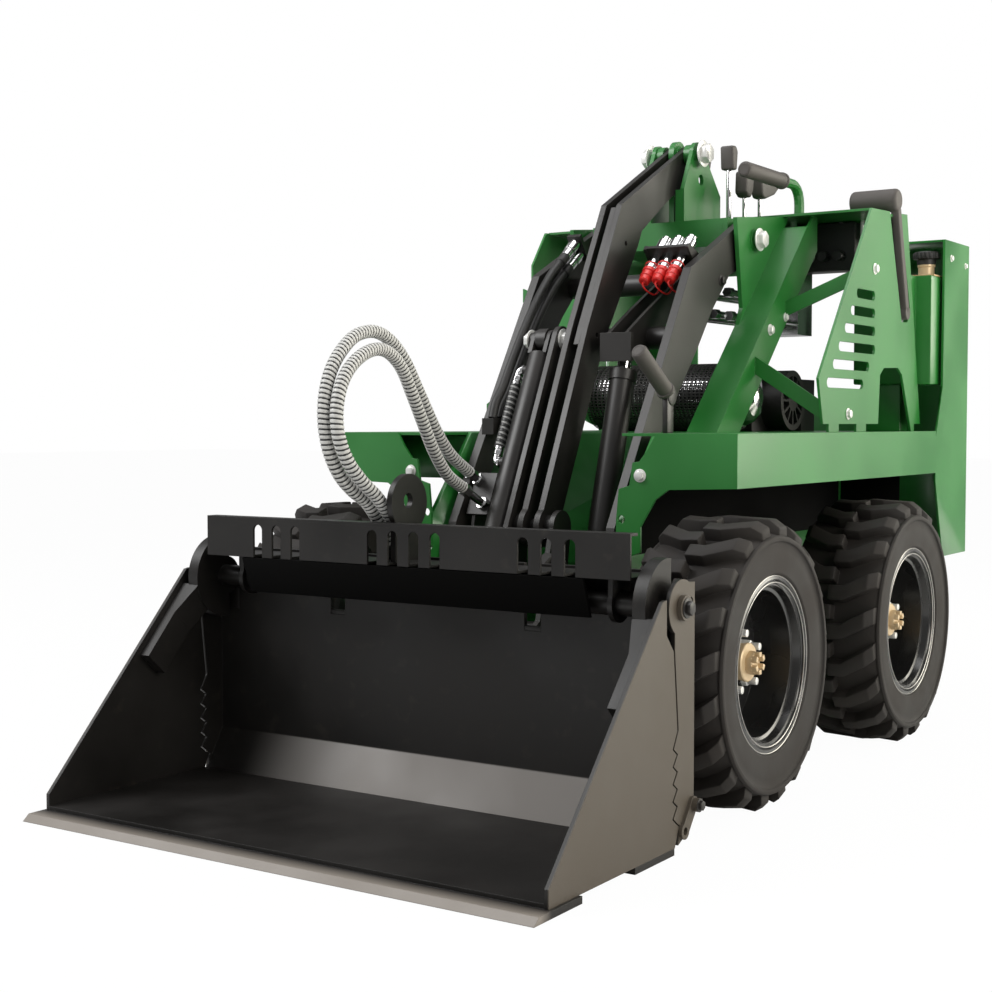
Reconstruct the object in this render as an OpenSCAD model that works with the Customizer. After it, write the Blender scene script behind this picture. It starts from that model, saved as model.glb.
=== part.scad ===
// Wheeled mini loader with a four-in-one bucket.
// Millimetres. Z up, the bucket faces -Y, +X is the machine's left.

/* [Wheels] */
// distance between the axles
wheel_base = 789; // [740:1:840]
// middle of a tyre from the machine's middle
wheel_x = 470; // [460:1:490]
// rim radius at the lip
rim_r = 170; // [160:1:180]
// height of the tyre over the rim, up to the lug tips
tyre_h = 110; // [100:1:120]
// tyre width
tyre_w = 214; // [200:1:220]
// lugs on each side of a tyre
lug_count = 14; // [12:1:18]

/* [Body] */
// inner half width of the tub
tub_x = 228; // [220:1:240]
// outer half width over the fender beams
beam_x = 492; // [480:1:520]
// height of the fender beam
beam_h = 106; // [80:1:130]
// room between a tyre and the fender beam
arch_gap = 51; // [40:1:70]
// length of the beam behind the rear tyre
tail_l = 106; // [90:1:130]
// length of the rear box
rear_l = 255; // [230:1:280]
// underside of the belly
belly_z = 150; // [135:1:165]
// sheet thickness of the body
sheet_t = 6; // [4:1:8]

/* [Arms] */
// thickness of an arm cheek
cheek_t = 20; // [16:1:24]
// half gap between the boom plates
boom_x = 13; // [12:1:15]
// thickness of a boom plate
boom_t = 14; // [12:1:16]
// barrel radius of the lift and tilt cylinders
barrel_r = 28; // [24:1:30]
// rod radius of the lift and tilt cylinders
rod_r = 16; // [13:1:18]

/* [Bucket] */
// half width of the cutting edge
lip_x = 559; // [540:1:580]
// length from the cutting edge to the back of the side plates
bucket_l = 532; // [510:1:560]
// height of the spill guard over the ground
spill_z = 550; // [540:1:580]
// thickness of the bucket's plates
plate_t = 8; // [6:1:10]
// teeth along the gap between blade and clam
tooth_count = 5; // [3:1:5]
// outer radius of the guarded hoses
hose_r = 13; // [11:1:14]

/* [Hidden] */
$fn = 48;
// play between faces that turn or slide on each other
gap = 0.3;
tyre_r = rim_r + tyre_h;
deck_z = 2 * tyre_r + arch_gap + beam_h;
beam_y = wheel_base + tyre_r + tail_l;
rear_y = beam_y + rear_l;
axle_y = [0, wheel_base];
guard_x = beam_x - 42;
cheek_x = tub_x - 42;
ear_x = cheek_x + cheek_t + 6;
web_x = ear_x + 67;
ram_x = boom_x + boom_t + 65;
mast_x = boom_x + boom_t + 19;
mast_t = 12;
side_x = lip_x - 6;
spill_x = side_x - 65;
clam_x = 230;
// back of the bucket, with room to roll back in front of the tyres
blade_y = -tyre_r - 28;
lip_y = blade_y - bucket_l;
back_y = blade_y - 4;
spill_y = back_y - 110;
mid_y = (rear_y + lip_y) / 2;
// pins of the lift linkage and of the bucket, as [y, z]
pin_a = [664, deck_z + 448];
pin_b = pin_a + [38, 220];
pin_p = [blade_y + 33, 150];
pin_d = pin_p + [305, 148];
pin_c = pin_d + pin_b - pin_a;
pin_t = pin_d + [213, 624];
pin_e = pin_p + [125, -52];
pin_k = [blade_y - 47, 422];
pin_r = pin_k + [93, 48];
pin_q = pin_r - [0, 320];
lift_foot = [83, belly_z + 55];
lift_eye = pin_a + [-379, -260];
tube_1 = pin_a + [-314, -240];
tube_2 = pin_a + [-144, -105];

// the pieces

// colours
green = [0.13, 0.47, 0.2];
black = [0.17, 0.16, 0.15];
grey = [0.4, 0.38, 0.36];
chrome = [0.75, 0.75, 0.75];

// shared shapes
module side_plate(pts, x0, t) translate([x0, 0, 0]) rotate([90, 0, 90]) linear_extrude(t) polygon(pts);
module face_plate(pts, y0, t) translate([0, y0 + t, 0]) rotate([90, 0, 0]) linear_extrude(t) polygon(pts);
module bar_x(x0, x1, p, r) translate([x0, p[0], p[1]]) rotate([0, 90, 0]) cylinder(h = x1 - x0, r = r);
module box(x0, x1, y0, y1, z0, z1) translate([x0, y0, z0]) cube([x1 - x0, y1 - y0, z1 - z0]);
module both() { children(); mirror([1, 0, 0]) children(); }
module right() mirror([1, 0, 0]) children();
// local +z runs from p to q in the plane x
module along(p, q, x) translate([x, p[0], p[1]]) rotate([atan2(p[0] - q[0], q[1] - p[1]), 0, 0]) children();
// a round bar along local x
module bar(x0, x1, r) rotate([0, 90, 0]) translate([0, 0, x0]) cylinder(h = x1 - x0, r = r);
// a slot in the y-z plane with round ends
module slot(y0, y1, z, r, x0, t) translate([x0, 0, 0]) rotate([90, 0, 90]) linear_extrude(t) {
  translate([y0 + r, z - r]) square([y1 - y0 - 2 * r, 2 * r]);
  for (y = [y0 + r, y1 - r]) translate([y, z]) circle(r);
}
function dist(p, q) = norm(q - p);
// points given from the deck or from a pin
function up(pts) = [for (p = pts) p + [0, deck_z]];
function from(pin, pts) = [for (p = pts) p + pin];
// a cylinder barrel from z0 to z1, bored for its rod down to zb
module bored(z0, z1, zb, r, rr) difference() {
  translate([0, 0, z0]) cylinder(h = z1 - z0, r = r);
  translate([0, 0, zb]) cylinder(h = z1 - zb + 1, r = rr + gap);
}
// a hose swept along points [x, y, z], leaving along d0 and ending along d1
hose_sides = 10;
function unit(v) = v / norm(v);
function heading(pts, i, d0, d1) = i == 0 ? d0 : i == len(pts) - 1 ? d1 : unit(pts[i + 1] - pts[i - 1]);
function ring_at(c, d, r) = let (u = unit(cross(d, [1, 0.2, 0])), w = cross(d, u))
  [for (k = [0 : hose_sides - 1]) c + r * (cos(360 * k / hose_sides) * u + sin(360 * k / hose_sides) * w)];
module hose(pts, r, d0, d1) {
  n = len(pts);
  s = hose_sides;
  polyhedron(
    points = [for (i = [0 : n - 1]) each ring_at(pts[i], heading(pts, i, d0, d1), r)],
    faces = concat([[for (k = [0 : s - 1]) k]], [[for (k = [0 : s - 1]) n * s - 1 - k]],
      [for (i = [0 : n - 2], k = [0 : s - 1]) [i * s + k, (i + 1) * s + k, (i + 1) * s + (k + 1) % s, i * s + (k + 1) % s]]));
}

// chassis
tub_pts = [[-90, belly_z + 40], [-60, belly_z], [beam_y - 95, belly_z], [beam_y, belly_z + 150],
  [beam_y, deck_z], [0, deck_z], [0, deck_z - 247], [-90, deck_z - 337]];
// the sloped floor under the arms
slope_pts = [[215, belly_z + 8], [223, belly_z + 8], [223, deck_z - 289], [393, deck_z - 6],
  [383, deck_z - 6], [215, deck_z - 286]];
module tub() color(green) {
  both() side_plate(tub_pts, tub_x, 10);
  box(-tub_x, tub_x, 30, beam_y - 95, belly_z, belly_z + 8);
  side_plate(slope_pts, -tub_x, 2 * tub_x);
  box(-tub_x, tub_x, 383, beam_y, deck_z - 6, deck_z);
  box(-tub_x, tub_x, beam_y - 8, beam_y, belly_z + 150, deck_z - 6);
  // feet of the lift cylinder
  for (x = [ram_x - 26, ram_x + 18]) {
    box(x, x + 8, lift_foot[0] - 30, lift_foot[0] + 30, belly_z + 8, lift_foot[1]);
    bar_x(x, x + 8, lift_foot, 30);
  }
  bar_x(ram_x - 32, ram_x + 32, lift_foot, 14);
}

// front plate as [x from the tub, z from the deck]
front_pts = [[90, 0], [beam_x - tub_x, 0], [beam_x - tub_x, -beam_h], [117, -beam_h - 5], [88, -131], [63, -172],
  [55, -186], [55, -237], [34, -245], [0, -245], [0, -174], [6, -111], [30, -104], [37, -58], [52, -56], [72, -30]];
tie_hole = [12, -172];
module fender() color(green) {
  box(tub_x + 10, beam_x, 0, beam_y, deck_z - sheet_t, deck_z);
  box(beam_x - sheet_t, beam_x, 0, beam_y, deck_z - beam_h, deck_z - sheet_t + 1);
  box(beam_x - 30, beam_x, 0, beam_y, deck_z - beam_h, deck_z - beam_h + sheet_t);
  difference() {
    face_plate(from([tub_x, deck_z], front_pts), -sheet_t, sheet_t);
    translate([tub_x + tie_hole[0], 1, deck_z + tie_hole[1]]) rotate([90, 0, 0]) cylinder(h = sheet_t + 2, r = 8);
  }
}
module fender_left() fender();
module fender_right() right() fender();

module axle_motors() color(black) for (y = axle_y) both() {
  bar_x(tub_x + 10, tub_x + 24, [y, tyre_r], 80);
  bar_x(tub_x + 23, wheel_x - 70, [y, tyre_r], 58);
  bar_x(wheel_x - 71, wheel_x - 15 - gap, [y, tyre_r], 40);
}

// uprights as [y, z from the deck], with the braces to the side guard
leg_pts = up([[335, 0], [343.5, 0], [836.5, 493], [828, 493]]);
web_pts = up([[343.5, 0], [451, 0], [890, 439], [890, 519], [862, 519], [836.5, 493]]);
ear_pts = up([[566, 491], [600, 286], [581, 246], [828, 493], [836.5, 493], [862, 519], [828, 519]]);
inner_pts = up([[606, 497], [606, 403], [664, 387], [760, 433], [760, 497]]);
// braces as [y, foot z at the web, foot z at the guard, width]
braces = [[700, 268, 333, 35], [531, 133, 28, 40]];
module upright() color(green) {
  side_plate(ear_pts, ear_x, 10);
  side_plate(leg_pts, ear_x, 73);
  side_plate(web_pts, web_x, 6);
  side_plate(inner_pts, cheek_x - 18, 12);
  bar_x(cheek_x - 18, ear_x + 22, pin_a, 16);
  bar_x(cheek_x - 7, cheek_x - gap, pin_a, 28);
  bar_x(cheek_x + cheek_t + gap, ear_x + 1, pin_a, 28);
  bar_x(ear_x + 9, ear_x + 14, pin_a, 26);
  for (b = braces) face_plate([[web_x + 2, deck_z + b[1]], [web_x + 2, deck_z + b[1] + b[3]],
    [guard_x - 6, deck_z + b[2] + b[3]], [guard_x - 6, deck_z + b[2]]], b[0], 6);
}
module upright_left() upright();
module upright_right() right() upright();

tri_x = mast_x;
tri_pts = up([[628, 496], [826, 496], [826, 580], [724, 685], [680, 685], [628, 578]]);
module tower() color(green) {
  box(18 - cheek_x, cheek_x - 18, 606, 840, deck_z + 433, deck_z + 497);
  both() difference() {
    union() {
      side_plate(tri_pts, tri_x, 10);
      bar_x(tri_x, tri_x + 10, pin_b, 28);
    }
    bar_x(tri_x - 1, tri_x + 11, pin_b + [16, -60], 13);
  }
  both() box(tri_x - 13, tri_x + 1, 628, 636, deck_z + 496, deck_z + 575);
  box(6 - boom_x, boom_x - 6, 672, 732, deck_z + 496, pin_b[1]);
  bar_x(6 - boom_x, boom_x - 6, pin_b, 34);
  bar_x(-tri_x - 22, tri_x + 22, pin_b, 14);
  both() {
    bar_x(boom_x - 7, boom_x - gap, pin_b, 24);
    bar_x(boom_x + boom_t + gap, tri_x + 1, pin_b, 24);
  }
}

// the top plate that the levers stand on, and the hand bar bent from tube
console_z = deck_z + 525;
bar_at = [ear_x + 44, 846];
bend_r = 44;
bar_leg = 24;
bar_tube = 60;
module console() color(green) {
  difference() {
    box(6 - guard_x, guard_x - 6, 828, 1060, console_z - 6, console_z);
    // slit of the tee lever
    box(guard_x - 20, guard_x, 974, 1012, console_z - 7, console_z + 1);
  }
  box(6 - guard_x, guard_x - 6, 1054, 1060, console_z - 60, console_z - 5);
  translate([bar_at[0], bar_at[1], console_z - 1]) {
    hose(concat([[0, 0, 0]], [for (a = [0 : 18 : 90]) [0, bend_r * (cos(a) - 1), bar_leg + bend_r * sin(a)]],
      [[0, -bend_r - bar_tube, bar_leg + bend_r]]), 12, [0, 0, 1], [0, -1, 0]);
  }
}

// side guard as [y, z from the deck]
guard_pts = up([[527, 18], [499, 118], [816, 523], [938, 528], [1030, 268], [1072, 270], [1090, 303], [1014, 531], [1062, 534],
  [beam_y + 1, 18], [beam_y - 45, 18], [beam_y - 45, 0], [beam_y - 67, 0], [1037, 139], [1007, 155], [908, 152], [882, 135],
  [872, 18], [792, 18], [792, 0], [730, 0], [730, 18], [620, 18], [620, 0], [560, 0], [560, 18]]);
// its slots as [front y, rear y, z from the deck]
guard_slots = [[724, 842, 319], [688, 844, 278], [652, 845, 236], [616, 846, 193], [582, 808, 152], [547, 770, 110]];
slot_r = 11;
module guard() color(green) difference() {
  side_plate(guard_pts, guard_x - 6, 6);
  for (s = guard_slots) slot(s[0], s[1], deck_z + s[2], slot_r, guard_x - 7, 8);
}
module guard_left() guard();
module guard_right() right() guard();

// rear box as [y from the rear, z from the deck]
flange_pts = from([rear_y, deck_z], [[0, -322], [0, 487], [-200, 487], [-205, 113], [-rear_l, -15], [-rear_l, -127], [-190, -322]]);
vent_rows = 7;
module rear_panel() color(green) {
  both() side_plate(flange_pts, beam_x - sheet_t, sheet_t);
  difference() {
    box(1 - beam_x, beam_x - 1, rear_y - sheet_t, rear_y, deck_z - 322, deck_z + 487);
    for (i = [0 : vent_rows - 1], s = [-1, 1]) translate([s * 150 - 110, rear_y - sheet_t - 1, deck_z - 20 + i * 40])
      cube([220, sheet_t + 2, 14]);
  }
  box(1 - beam_x, beam_x - 1, rear_y - 200, rear_y - 1, deck_z + 481, deck_z + 487);
  box(1 - beam_x, beam_x - 1, rear_y - 190, rear_y - 1, deck_z - 322, deck_z - 316);
}

tank_at = [guard_x - 80, beam_y - 20];
module tank() color(green) {
  box(guard_x - 150, guard_x - 12, beam_y - 75, beam_y + 40, deck_z + 118, deck_z + 393);
  box(guard_x - 130, guard_x - 30, beam_y - 65, beam_y - 5, deck_z, deck_z + 119);
  translate([tank_at[0], tank_at[1], deck_z + 392]) cylinder(h = 34, r = 20);
}
module tank_cap() color(black) translate([tank_at[0], tank_at[1], deck_z + 426]) {
  cylinder(h = 14, r = 24);
  translate([0, 0, 13]) cylinder(h = 20, r = 34);
}

// engine: crankcase, two finned cylinders, fan housing and air filter
fin_count = 6;
engine_y = 770;
module engine() color(black) {
  box(-170, 170, engine_y, engine_y + 250, deck_z, deck_z + 96);
  both() {
    box(70, 150, engine_y + 40, engine_y + 190, deck_z + 95, deck_z + 150);
    for (i = [0 : fin_count - 1]) box(56, 164, engine_y + 28, engine_y + 202, deck_z + 98 + i * 9, deck_z + 102 + i * 9);
  }
  box(-48, 48, engine_y + 20, engine_y + 230, deck_z + 95, deck_z + 148);
  difference() {
    bar_x(169, 226, [engine_y + 120, deck_z + 76], 74);
    difference() {
      bar_x(214, 227, [engine_y + 120, deck_z + 76], 60);
      bar_x(213, 228, [engine_y + 120, deck_z + 76], 26);
      for (a = [0 : 30 : 150]) translate([213, engine_y + 120, deck_z + 76]) rotate([a, 0, 0])
        translate([0, -3, -70]) cube([15, 6, 140]);
    }
  }
  box(180, 212, engine_y + 205, engine_y + 290, deck_z, deck_z + 130);
  box(160, 181, engine_y + 215, engine_y + 245, deck_z, deck_z + 60);
}
muffler_at = [660, deck_z + 83];
muffler_r = 72;
// its domed end as [radius, x]
dome_pts = [[0, 190], [68, 190], [68, 204], [62, 218], [48, 230], [26, 237], [0, 239]];
module muffler() color(chrome) {
  bar_x(-190, 196, muffler_at, muffler_r);
  both() translate([0, muffler_at[0], muffler_at[1]]) rotate([0, 90, 0]) rotate_extrude() polygon(dome_pts);
  for (x = [-130, 100]) box(x, x + 30, muffler_at[0] - 30, muffler_at[0] + 30, deck_z, muffler_at[1] - 40);
  bar_x(-10, 20, muffler_at, muffler_r + 4);
}

// valve bank under the console, with its lines as [x, z from the deck, front y]
line_rows = [[112, 266, 590], [140, 266, 560], [168, 272, 575], [196, 268, 600], [126, 318, 640], [182, 324, 620]];
valve_y = 930;
module hydraulic_lines() color(chrome) {
  box(90, 220, valve_y, valve_y + 90, deck_z + 240, deck_z + 420);
  for (x = [100, 190]) box(x, x + 16, valve_y + 20, valve_y + 70, deck_z + 419, console_z - 6);
  for (l = line_rows) {
    translate([l[0], valve_y + 1, deck_z + l[1]]) rotate([90, 0, 0]) cylinder(h = valve_y - l[2], r = 8);
    for (y = [l[2] + 4, valve_y - 40]) translate([l[0], y, deck_z + l[1]]) rotate([90, 0, 0]) cylinder(h = 24, r = 12, $fn = 6);
  }
}

// lever stems as [x, y, foot z, top z, radius]
stems = [[130, 717, deck_z + 497, deck_z + 625, 6], [130, 806, deck_z + 497, deck_z + 570, 5], [130, 896, console_z, deck_z + 578, 5]];
grip_foot = [84, deck_z + 74];
grip_tip = [-50, deck_z + 162];
tee_foot = [1058, deck_z + 292];
tee_at = [982, deck_z + 560];
tee_r = 28;
module levers() color(grey) {
  for (s = stems) translate([s[0], s[1], s[2]]) cylinder(h = s[3] - s[2], r = s[4]);
  // flat bar of the front lever
  box(294, 306, 64, 92, deck_z, deck_z + 70);
  bar_x(294, 306, grip_foot, 18);
  // lever in the slit of the left guard, on a bracket behind it
  along(tee_foot, tee_at, guard_x - 3) {
    translate([-10, -11, 0]) cube([20, 22, dist(tee_foot, tee_at) - tee_r - gap]);
    bar(-20, 10, 16);
  }
  box(guard_x - 14, guard_x - 6, tee_foot[0] - 30, tee_foot[0] + 30, tee_foot[1] - 54, tee_foot[1] + 8);
}
wedge_pts = [[-24, 10], [-20, 64], [26, 60], [22, 20], [8, 0], [-8, 0]];
tip_pts = [[-16, 8], [-24, 58], [44, 64], [92, 36], [60, 16], [8, 0], [-8, 0]];
module knobs() color(grey) {
  translate([stems[0][0], stems[0][1], stems[0][3]]) rotate([0, 0, 45]) cylinder(h = 58, r1 = 15, r2 = 24, $fn = 4);
  side_plate(from([stems[1][1], stems[1][3]], wedge_pts), stems[1][0] - 14, 28);
  side_plate(from([stems[2][1], stems[2][3]], tip_pts), stems[2][0] - 14, 28);
  // grip of the hand bar
  translate([bar_at[0], bar_at[1] - bend_r - bar_tube, console_z - 1 + bar_leg + bend_r]) rotate([90, 0, 0]) cylinder(h = 215, r = 18);
  // front grip and the tee grip
  along(grip_foot, grip_tip, 300) translate([0, 0, 18 + gap]) cylinder(h = dist(grip_foot, grip_tip) - 18, r = 17);
  bar_x(guard_x - 112, guard_x + 8, tee_at, tee_r);
}

// lift arms
cheek_pts = concat(from(pin_a, [[-24, 44], [-74, 21], [-296, -86]]), from(pin_d, [[-2, 226], [-45, 12], [45, -8], [65, 232], [201, 420]]),
  from(pin_a, [[-262, -260], [-192, -175], [-104, -90], [26, -43]]));
module cheek() color(black) difference() {
  union() {
    side_plate(cheek_pts, cheek_x, cheek_t);
    bar_x(cheek_x, cheek_x + cheek_t, pin_a, 50);
    bar_x(cheek_x, cheek_x + cheek_t, pin_d, 45);
  }
  for (p = [pin_a, pin_d]) bar_x(cheek_x - 1, cheek_x + cheek_t + 1, p, 16 + gap);
}
module cheek_left() cheek();
module cheek_right() right() cheek();

// the coupler bank stands at 45 degrees in front of the upper tube
bank_p = tube_2 + [-141, 8];
bank_q = tube_2 + [-67, 79];
bank_x = [92, 124, 156];
bank_plate = [60, 68];
bank_gusset = [[-28, 58], [28, 58], [112, 82], [112, 118], [80, 118], [-28, 70]];
lug_z = [lift_eye[1] - 24, lift_eye[1] + 28];
lug_pts = [[lift_eye[0] - 45, lug_z[0]], [tube_1[0], tube_1[1] - 24.5], [tube_2[0] - 8, tube_2[1] - 20], [tube_2[0] - 14, tube_2[1] + 18],
  [tube_1[0] - 20, tube_1[1] + 60], [lift_eye[0] - 45, lug_z[1]]];
hose_x = -cheek_x + 18;
// hoses inside the right cheek as [y, z], with half their spacing
arm_route = [[462, 1118], [400, 1072], [340, 1010], [288, 944], [238, 872], [198, 810], [170, 776], [158, 748]];
arm_half = 15;
arm_last = len(arm_route) - 1;
arm_out = unit(arm_route[0] - arm_route[1]);
function arm_side(i) = i == arm_last ? [1, 0]
  : let (d = unit(arm_route[max(i - 1, 0)] - arm_route[i + 1])) [d[1], -d[0]];
module arm_tubes() color(black) {
  bar_x(-cheek_x, ram_x - rod_r - 2, tube_1, 25);
  bar_x(ram_x + rod_r + 2, cheek_x, tube_1, 25);
  bar_x(-cheek_x, cheek_x, tube_2, 25);
  for (x = [ram_x - rod_r - 10, ram_x + rod_r + 2]) side_plate(lug_pts, x, 8);
  box(ram_x - 36, ram_x + 40, lift_eye[0] - 57, lift_eye[0] - 44, lug_z[0] - 10, lug_z[1]);
  along(bank_p, bank_q, 0) {
    translate([bank_x[0] - 22, -28, bank_plate[0]]) cube([bank_x[2] - bank_x[0] + 44, 56, bank_plate[1] - bank_plate[0]]);
    for (x = [bank_x[0] - 24, bank_x[2] + 17]) translate([x, 0, 0]) rotate([90, 0, 90]) linear_extrude(7) polygon(bank_gusset);
  }
  // foot block and head plate of the arm hoses
  box(-cheek_x, hose_x + 12, arm_route[arm_last][0] - 30, arm_route[arm_last][0] + 30, arm_route[arm_last][1] - 36, arm_route[arm_last][1]);
  along(arm_route[1], arm_route[0], 0) translate([-cheek_x, -34, dist(arm_route[1], arm_route[0]) + 60]) cube([36, 68, 10]);
}
// bodies of the couplers as [start, length, radius]
coupler_steps = [[15.3, 12.5, 15], [27, 33, 12], [68, 14.5, 13], [82, 30.5, 15], [112, 14, 11]];
module couplers() color(chrome) {
  for (x = bank_x) along(bank_p, bank_q, x)
    for (c = coupler_steps) translate([0, 0, c[0]]) cylinder(h = c[1], r = c[2]);
  for (s = [-1, 1]) along(arm_route[1], arm_route[0], hose_x) translate([0, s * arm_half, dist(arm_route[1], arm_route[0])]) {
    cylinder(h = 26, r = 12);
    translate([0, 0, 25]) cylinder(h = 35, r = 14);
  }
}
module dust_caps() color([0.8, 0.1, 0.08]) for (x = bank_x)
  along(bank_p, bank_q, x) translate([0, 0, -26]) cylinder(h = 41, r = 15.4);
module arm_hoses() color([0.08, 0.08, 0.08]) for (s = [-1, 1])
  hose([for (i = [0 : arm_last]) let (p = arm_route[i] + s * arm_half * arm_side(i)) [hose_x, p[0], p[1]]],
    10, [0, -arm_out[0], -arm_out[1]], [0, 0, -1]);

boom_pts = concat(from(pin_b, [[-324, -154], [4, 20], [50, 34], [100, 27], [135, 12], [123, -23], [-20, -76], [-120, -133],
  [-230, -205], [-249, -242], [-403, -468]]), from(pin_c, [[44, 12], [-42, -3]]), [pin_b + [-477, -440]]);
// front strip beside the left plate, below the bend
strip_pts = from(pin_b, [[-328, -161], [-477, -440], [-494, -476], [-482, -482], [-465, -446], [-316, -167]]);
boom_holes = from(pin_b, [[-306, -241], [-436, -454]]);
module boom() color(black) {
  both() difference() {
    union() {
      side_plate(boom_pts, boom_x, boom_t);
      bar_x(boom_x, boom_x + boom_t, pin_c, 44);
    }
    bar_x(boom_x - 1, boom_x + boom_t + 1, pin_b, 14 + gap);
    bar_x(boom_x - 1, boom_x + boom_t + 1, pin_c, 16 + gap);
    for (p = boom_holes) bar_x(boom_x - 1, boom_x + boom_t + 1, p, 6);
  }
  side_plate(strip_pts, 1, boom_x);
}

mast_pts = concat(from(pin_c, [[-36, 0], [36, 0]]), from(pin_d, [[36, -18], [-10, -36]]), from(pin_p, [[10, -32], [-25, 15]]), [pin_d + [-50, 32]]);
stick_pts = concat(from(pin_t, [[27, -13], [-27, 13]]), from(pin_c, [[-66, -32], [-9, -48]]));
// free hoses from the mast to the bucket, points as [x, y, z]
loop_1 = [[-167, 51, 630], [-162, -25, 669], [-157, -80, 714], [-152, -127, 765], [-147, -174, 819], [-142, -216, 864],
  [-137, -269, 900], [-132, -325, 915], [-128, -385, 906], [-123, -434, 878], [-118, -475, 837], [-113, -500, 787],
  [-108, -508, 734], [-103, -500, 684], [-98, -478, 642], [-94, -446, 612], [-90, -408, 588], [-87, -378, 556], [-85, -358, 528], [-85, -350, 500]];
loop_2 = [[-139, -15, 600], [-134, -79, 630], [-128, -134, 679], [-123, -177, 734], [-118, -220, 791], [-113, -262, 843],
  [-107, -309, 872], [-102, -358, 879], [-97, -412, 864], [-92, -459, 834], [-86, -491, 794], [-81, -505, 748],
  [-76, -503, 706], [-71, -484, 664], [-66, -450, 628], [-61, -412, 598], [-58, -380, 564], [-56, -358, 530], [-56, -348, 500]];
// ports stand on a plate across port_n
port_n = unit([0.9, -0.436]);
port_at = [loop_1[0][1], loop_1[0][2]] + 45 * port_n;
// their post, on the lower cross tube
post_x = -cheek_x + 18;
post_pts = from(pin_d, [[-18, 0], [18, 0], [82, 222], [88, 302], [73, 327], [34.6, 247.7], [-8, 32]]);
module mast() color(black) {
  both() {
    side_plate(mast_pts, mast_x, mast_t);
    bar_x(mast_x, mast_x + mast_t, pin_c, 36);
    bar_x(mast_x, mast_x + mast_t, pin_p, 33);
    bar_x(boom_x + boom_t + gap, mast_x + 1, pin_c, 26);
    bar_x(cheek_x + cheek_t + gap, cheek_x + cheek_t + 8, pin_d, 26);
    bar_x(cheek_x - 7, cheek_x - gap, pin_d, 26);
  }
  right() {
    side_plate(stick_pts, mast_x, mast_t);
    bar_x(mast_x, mast_x + mast_t, pin_t, 30);
    bar_x(mast_x, ram_x + 30, pin_t, 12);
    bar_x(ram_x - 13, ram_x + 13, pin_t, 26);
    bar_x(ram_x + 24 + gap, ram_x + 34, pin_t, 18);
  }
  side_plate(post_pts, post_x, 8);
  along(port_at, port_at + port_n, 0) translate([5 - cheek_x, -20, 0]) cube([55, 98, 8]);
  bar_x(6 - cheek_x, cheek_x - 6, pin_d, 22);
  bar_x(-cheek_x - cheek_t - 8, cheek_x + cheek_t + 8, pin_d, 16);
  bar_x(-mast_x, mast_x, pin_c, 16);
  bar_x(-mast_x - 32, mast_x + 32, pin_p, 14);
}

module port(pts) {
  p = [pts[0][1], pts[0][2]];
  l = (port_at - p) * port_n;
  along(p, p + port_n, pts[0][0]) {
    cylinder(h = l, r = 9);
    cylinder(h = 22, r = 13.5, $fn = 6);
    translate([0, 0, l - 14]) cylinder(h = 14, r = 13.5, $fn = 6);
  }
}
module ports() color(chrome) {
  port(loop_1);
  port(loop_2);
}
module free_hose(pts) hose(pts, hose_r, -[0, port_n[0], port_n[1]], [0, 0, -1]);
module loop_hose_1() color([0.6, 0.6, 0.6]) free_hose(loop_1);
module loop_hose_2() color([0.6, 0.6, 0.6]) free_hose(loop_2);

// cylinders
boss_z = [75, 300];
module tilt_barrel() color(black) along(pin_t, pin_e, -ram_x) {
  bored(40, 600, 70, barrel_r, rod_r);
  for (x = [-24, 14]) difference() {
    union() {
      translate([x, -22, 0]) cube([10, 44, 42]);
      bar(x, x + 10, 22);
    }
    bar(x - 1, x + 11, 12 + gap);
  }
  // ports of the short hose, and the gland
  for (z = boss_z) translate([0, 0, z]) difference() {
    bar(-barrel_r - 8, 0, 11);
    translate([0, 0, -12]) cylinder(h = 24, r = rod_r + 2);
  }
  difference() {
    translate([0, 0, 574]) cylinder(h = 26, r = barrel_r + 3);
    translate([0, 0, 573]) cylinder(h = 28, r = rod_r + gap);
  }
}
tilt_hose_x = -barrel_r - 20;
module tilt_hose() color(chrome) along(pin_t, pin_e, -ram_x) {
  for (z = boss_z) translate([0, 0, z]) bar(tilt_hose_x - 10, -barrel_r - 8, 9);
  translate([tilt_hose_x, 0, boss_z[0] - 11]) cylinder(h = boss_z[1] - boss_z[0] + 22, r = 10);
  translate([tilt_hose_x, 0, boss_z[0] + 36]) cylinder(h = boss_z[1] - boss_z[0] - 72, r = 13);
}
module tilt_rod() color(chrome) along(pin_t, pin_e, -ram_x) {
  translate([0, 0, 190]) cylinder(h = dist(pin_t, pin_e) - 205, r = rod_r);
  translate([0, 0, dist(pin_t, pin_e)]) bar(-12, 12, 25);
}
module lift_barrel() color(black) along(lift_foot, lift_eye, ram_x) {
  bored(32, 672, 50, barrel_r, rod_r);
  difference() {
    translate([0, 0, 648]) cylinder(h = 24, r = barrel_r + 3);
    translate([0, 0, 647]) cylinder(h = 26, r = rod_r + gap);
  }
  difference() {
    union() {
      translate([-14, -20, 0]) cube([28, 40, 34]);
      bar(-14, 14, 24);
    }
    bar(-15, 15, 14 + gap);
  }
}
module lift_rod() color(chrome) along(lift_foot, lift_eye, ram_x) {
  translate([0, 0, 55]) cylinder(h = dist(lift_foot, lift_eye) - 70, r = rod_r);
  translate([0, 0, dist(lift_foot, lift_eye)]) bar(-12, 12, 24);
}

// bucket, points as [y from the back of the side plates, z]
side_at = [blade_y, 0];
tooth_h = 30;
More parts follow.
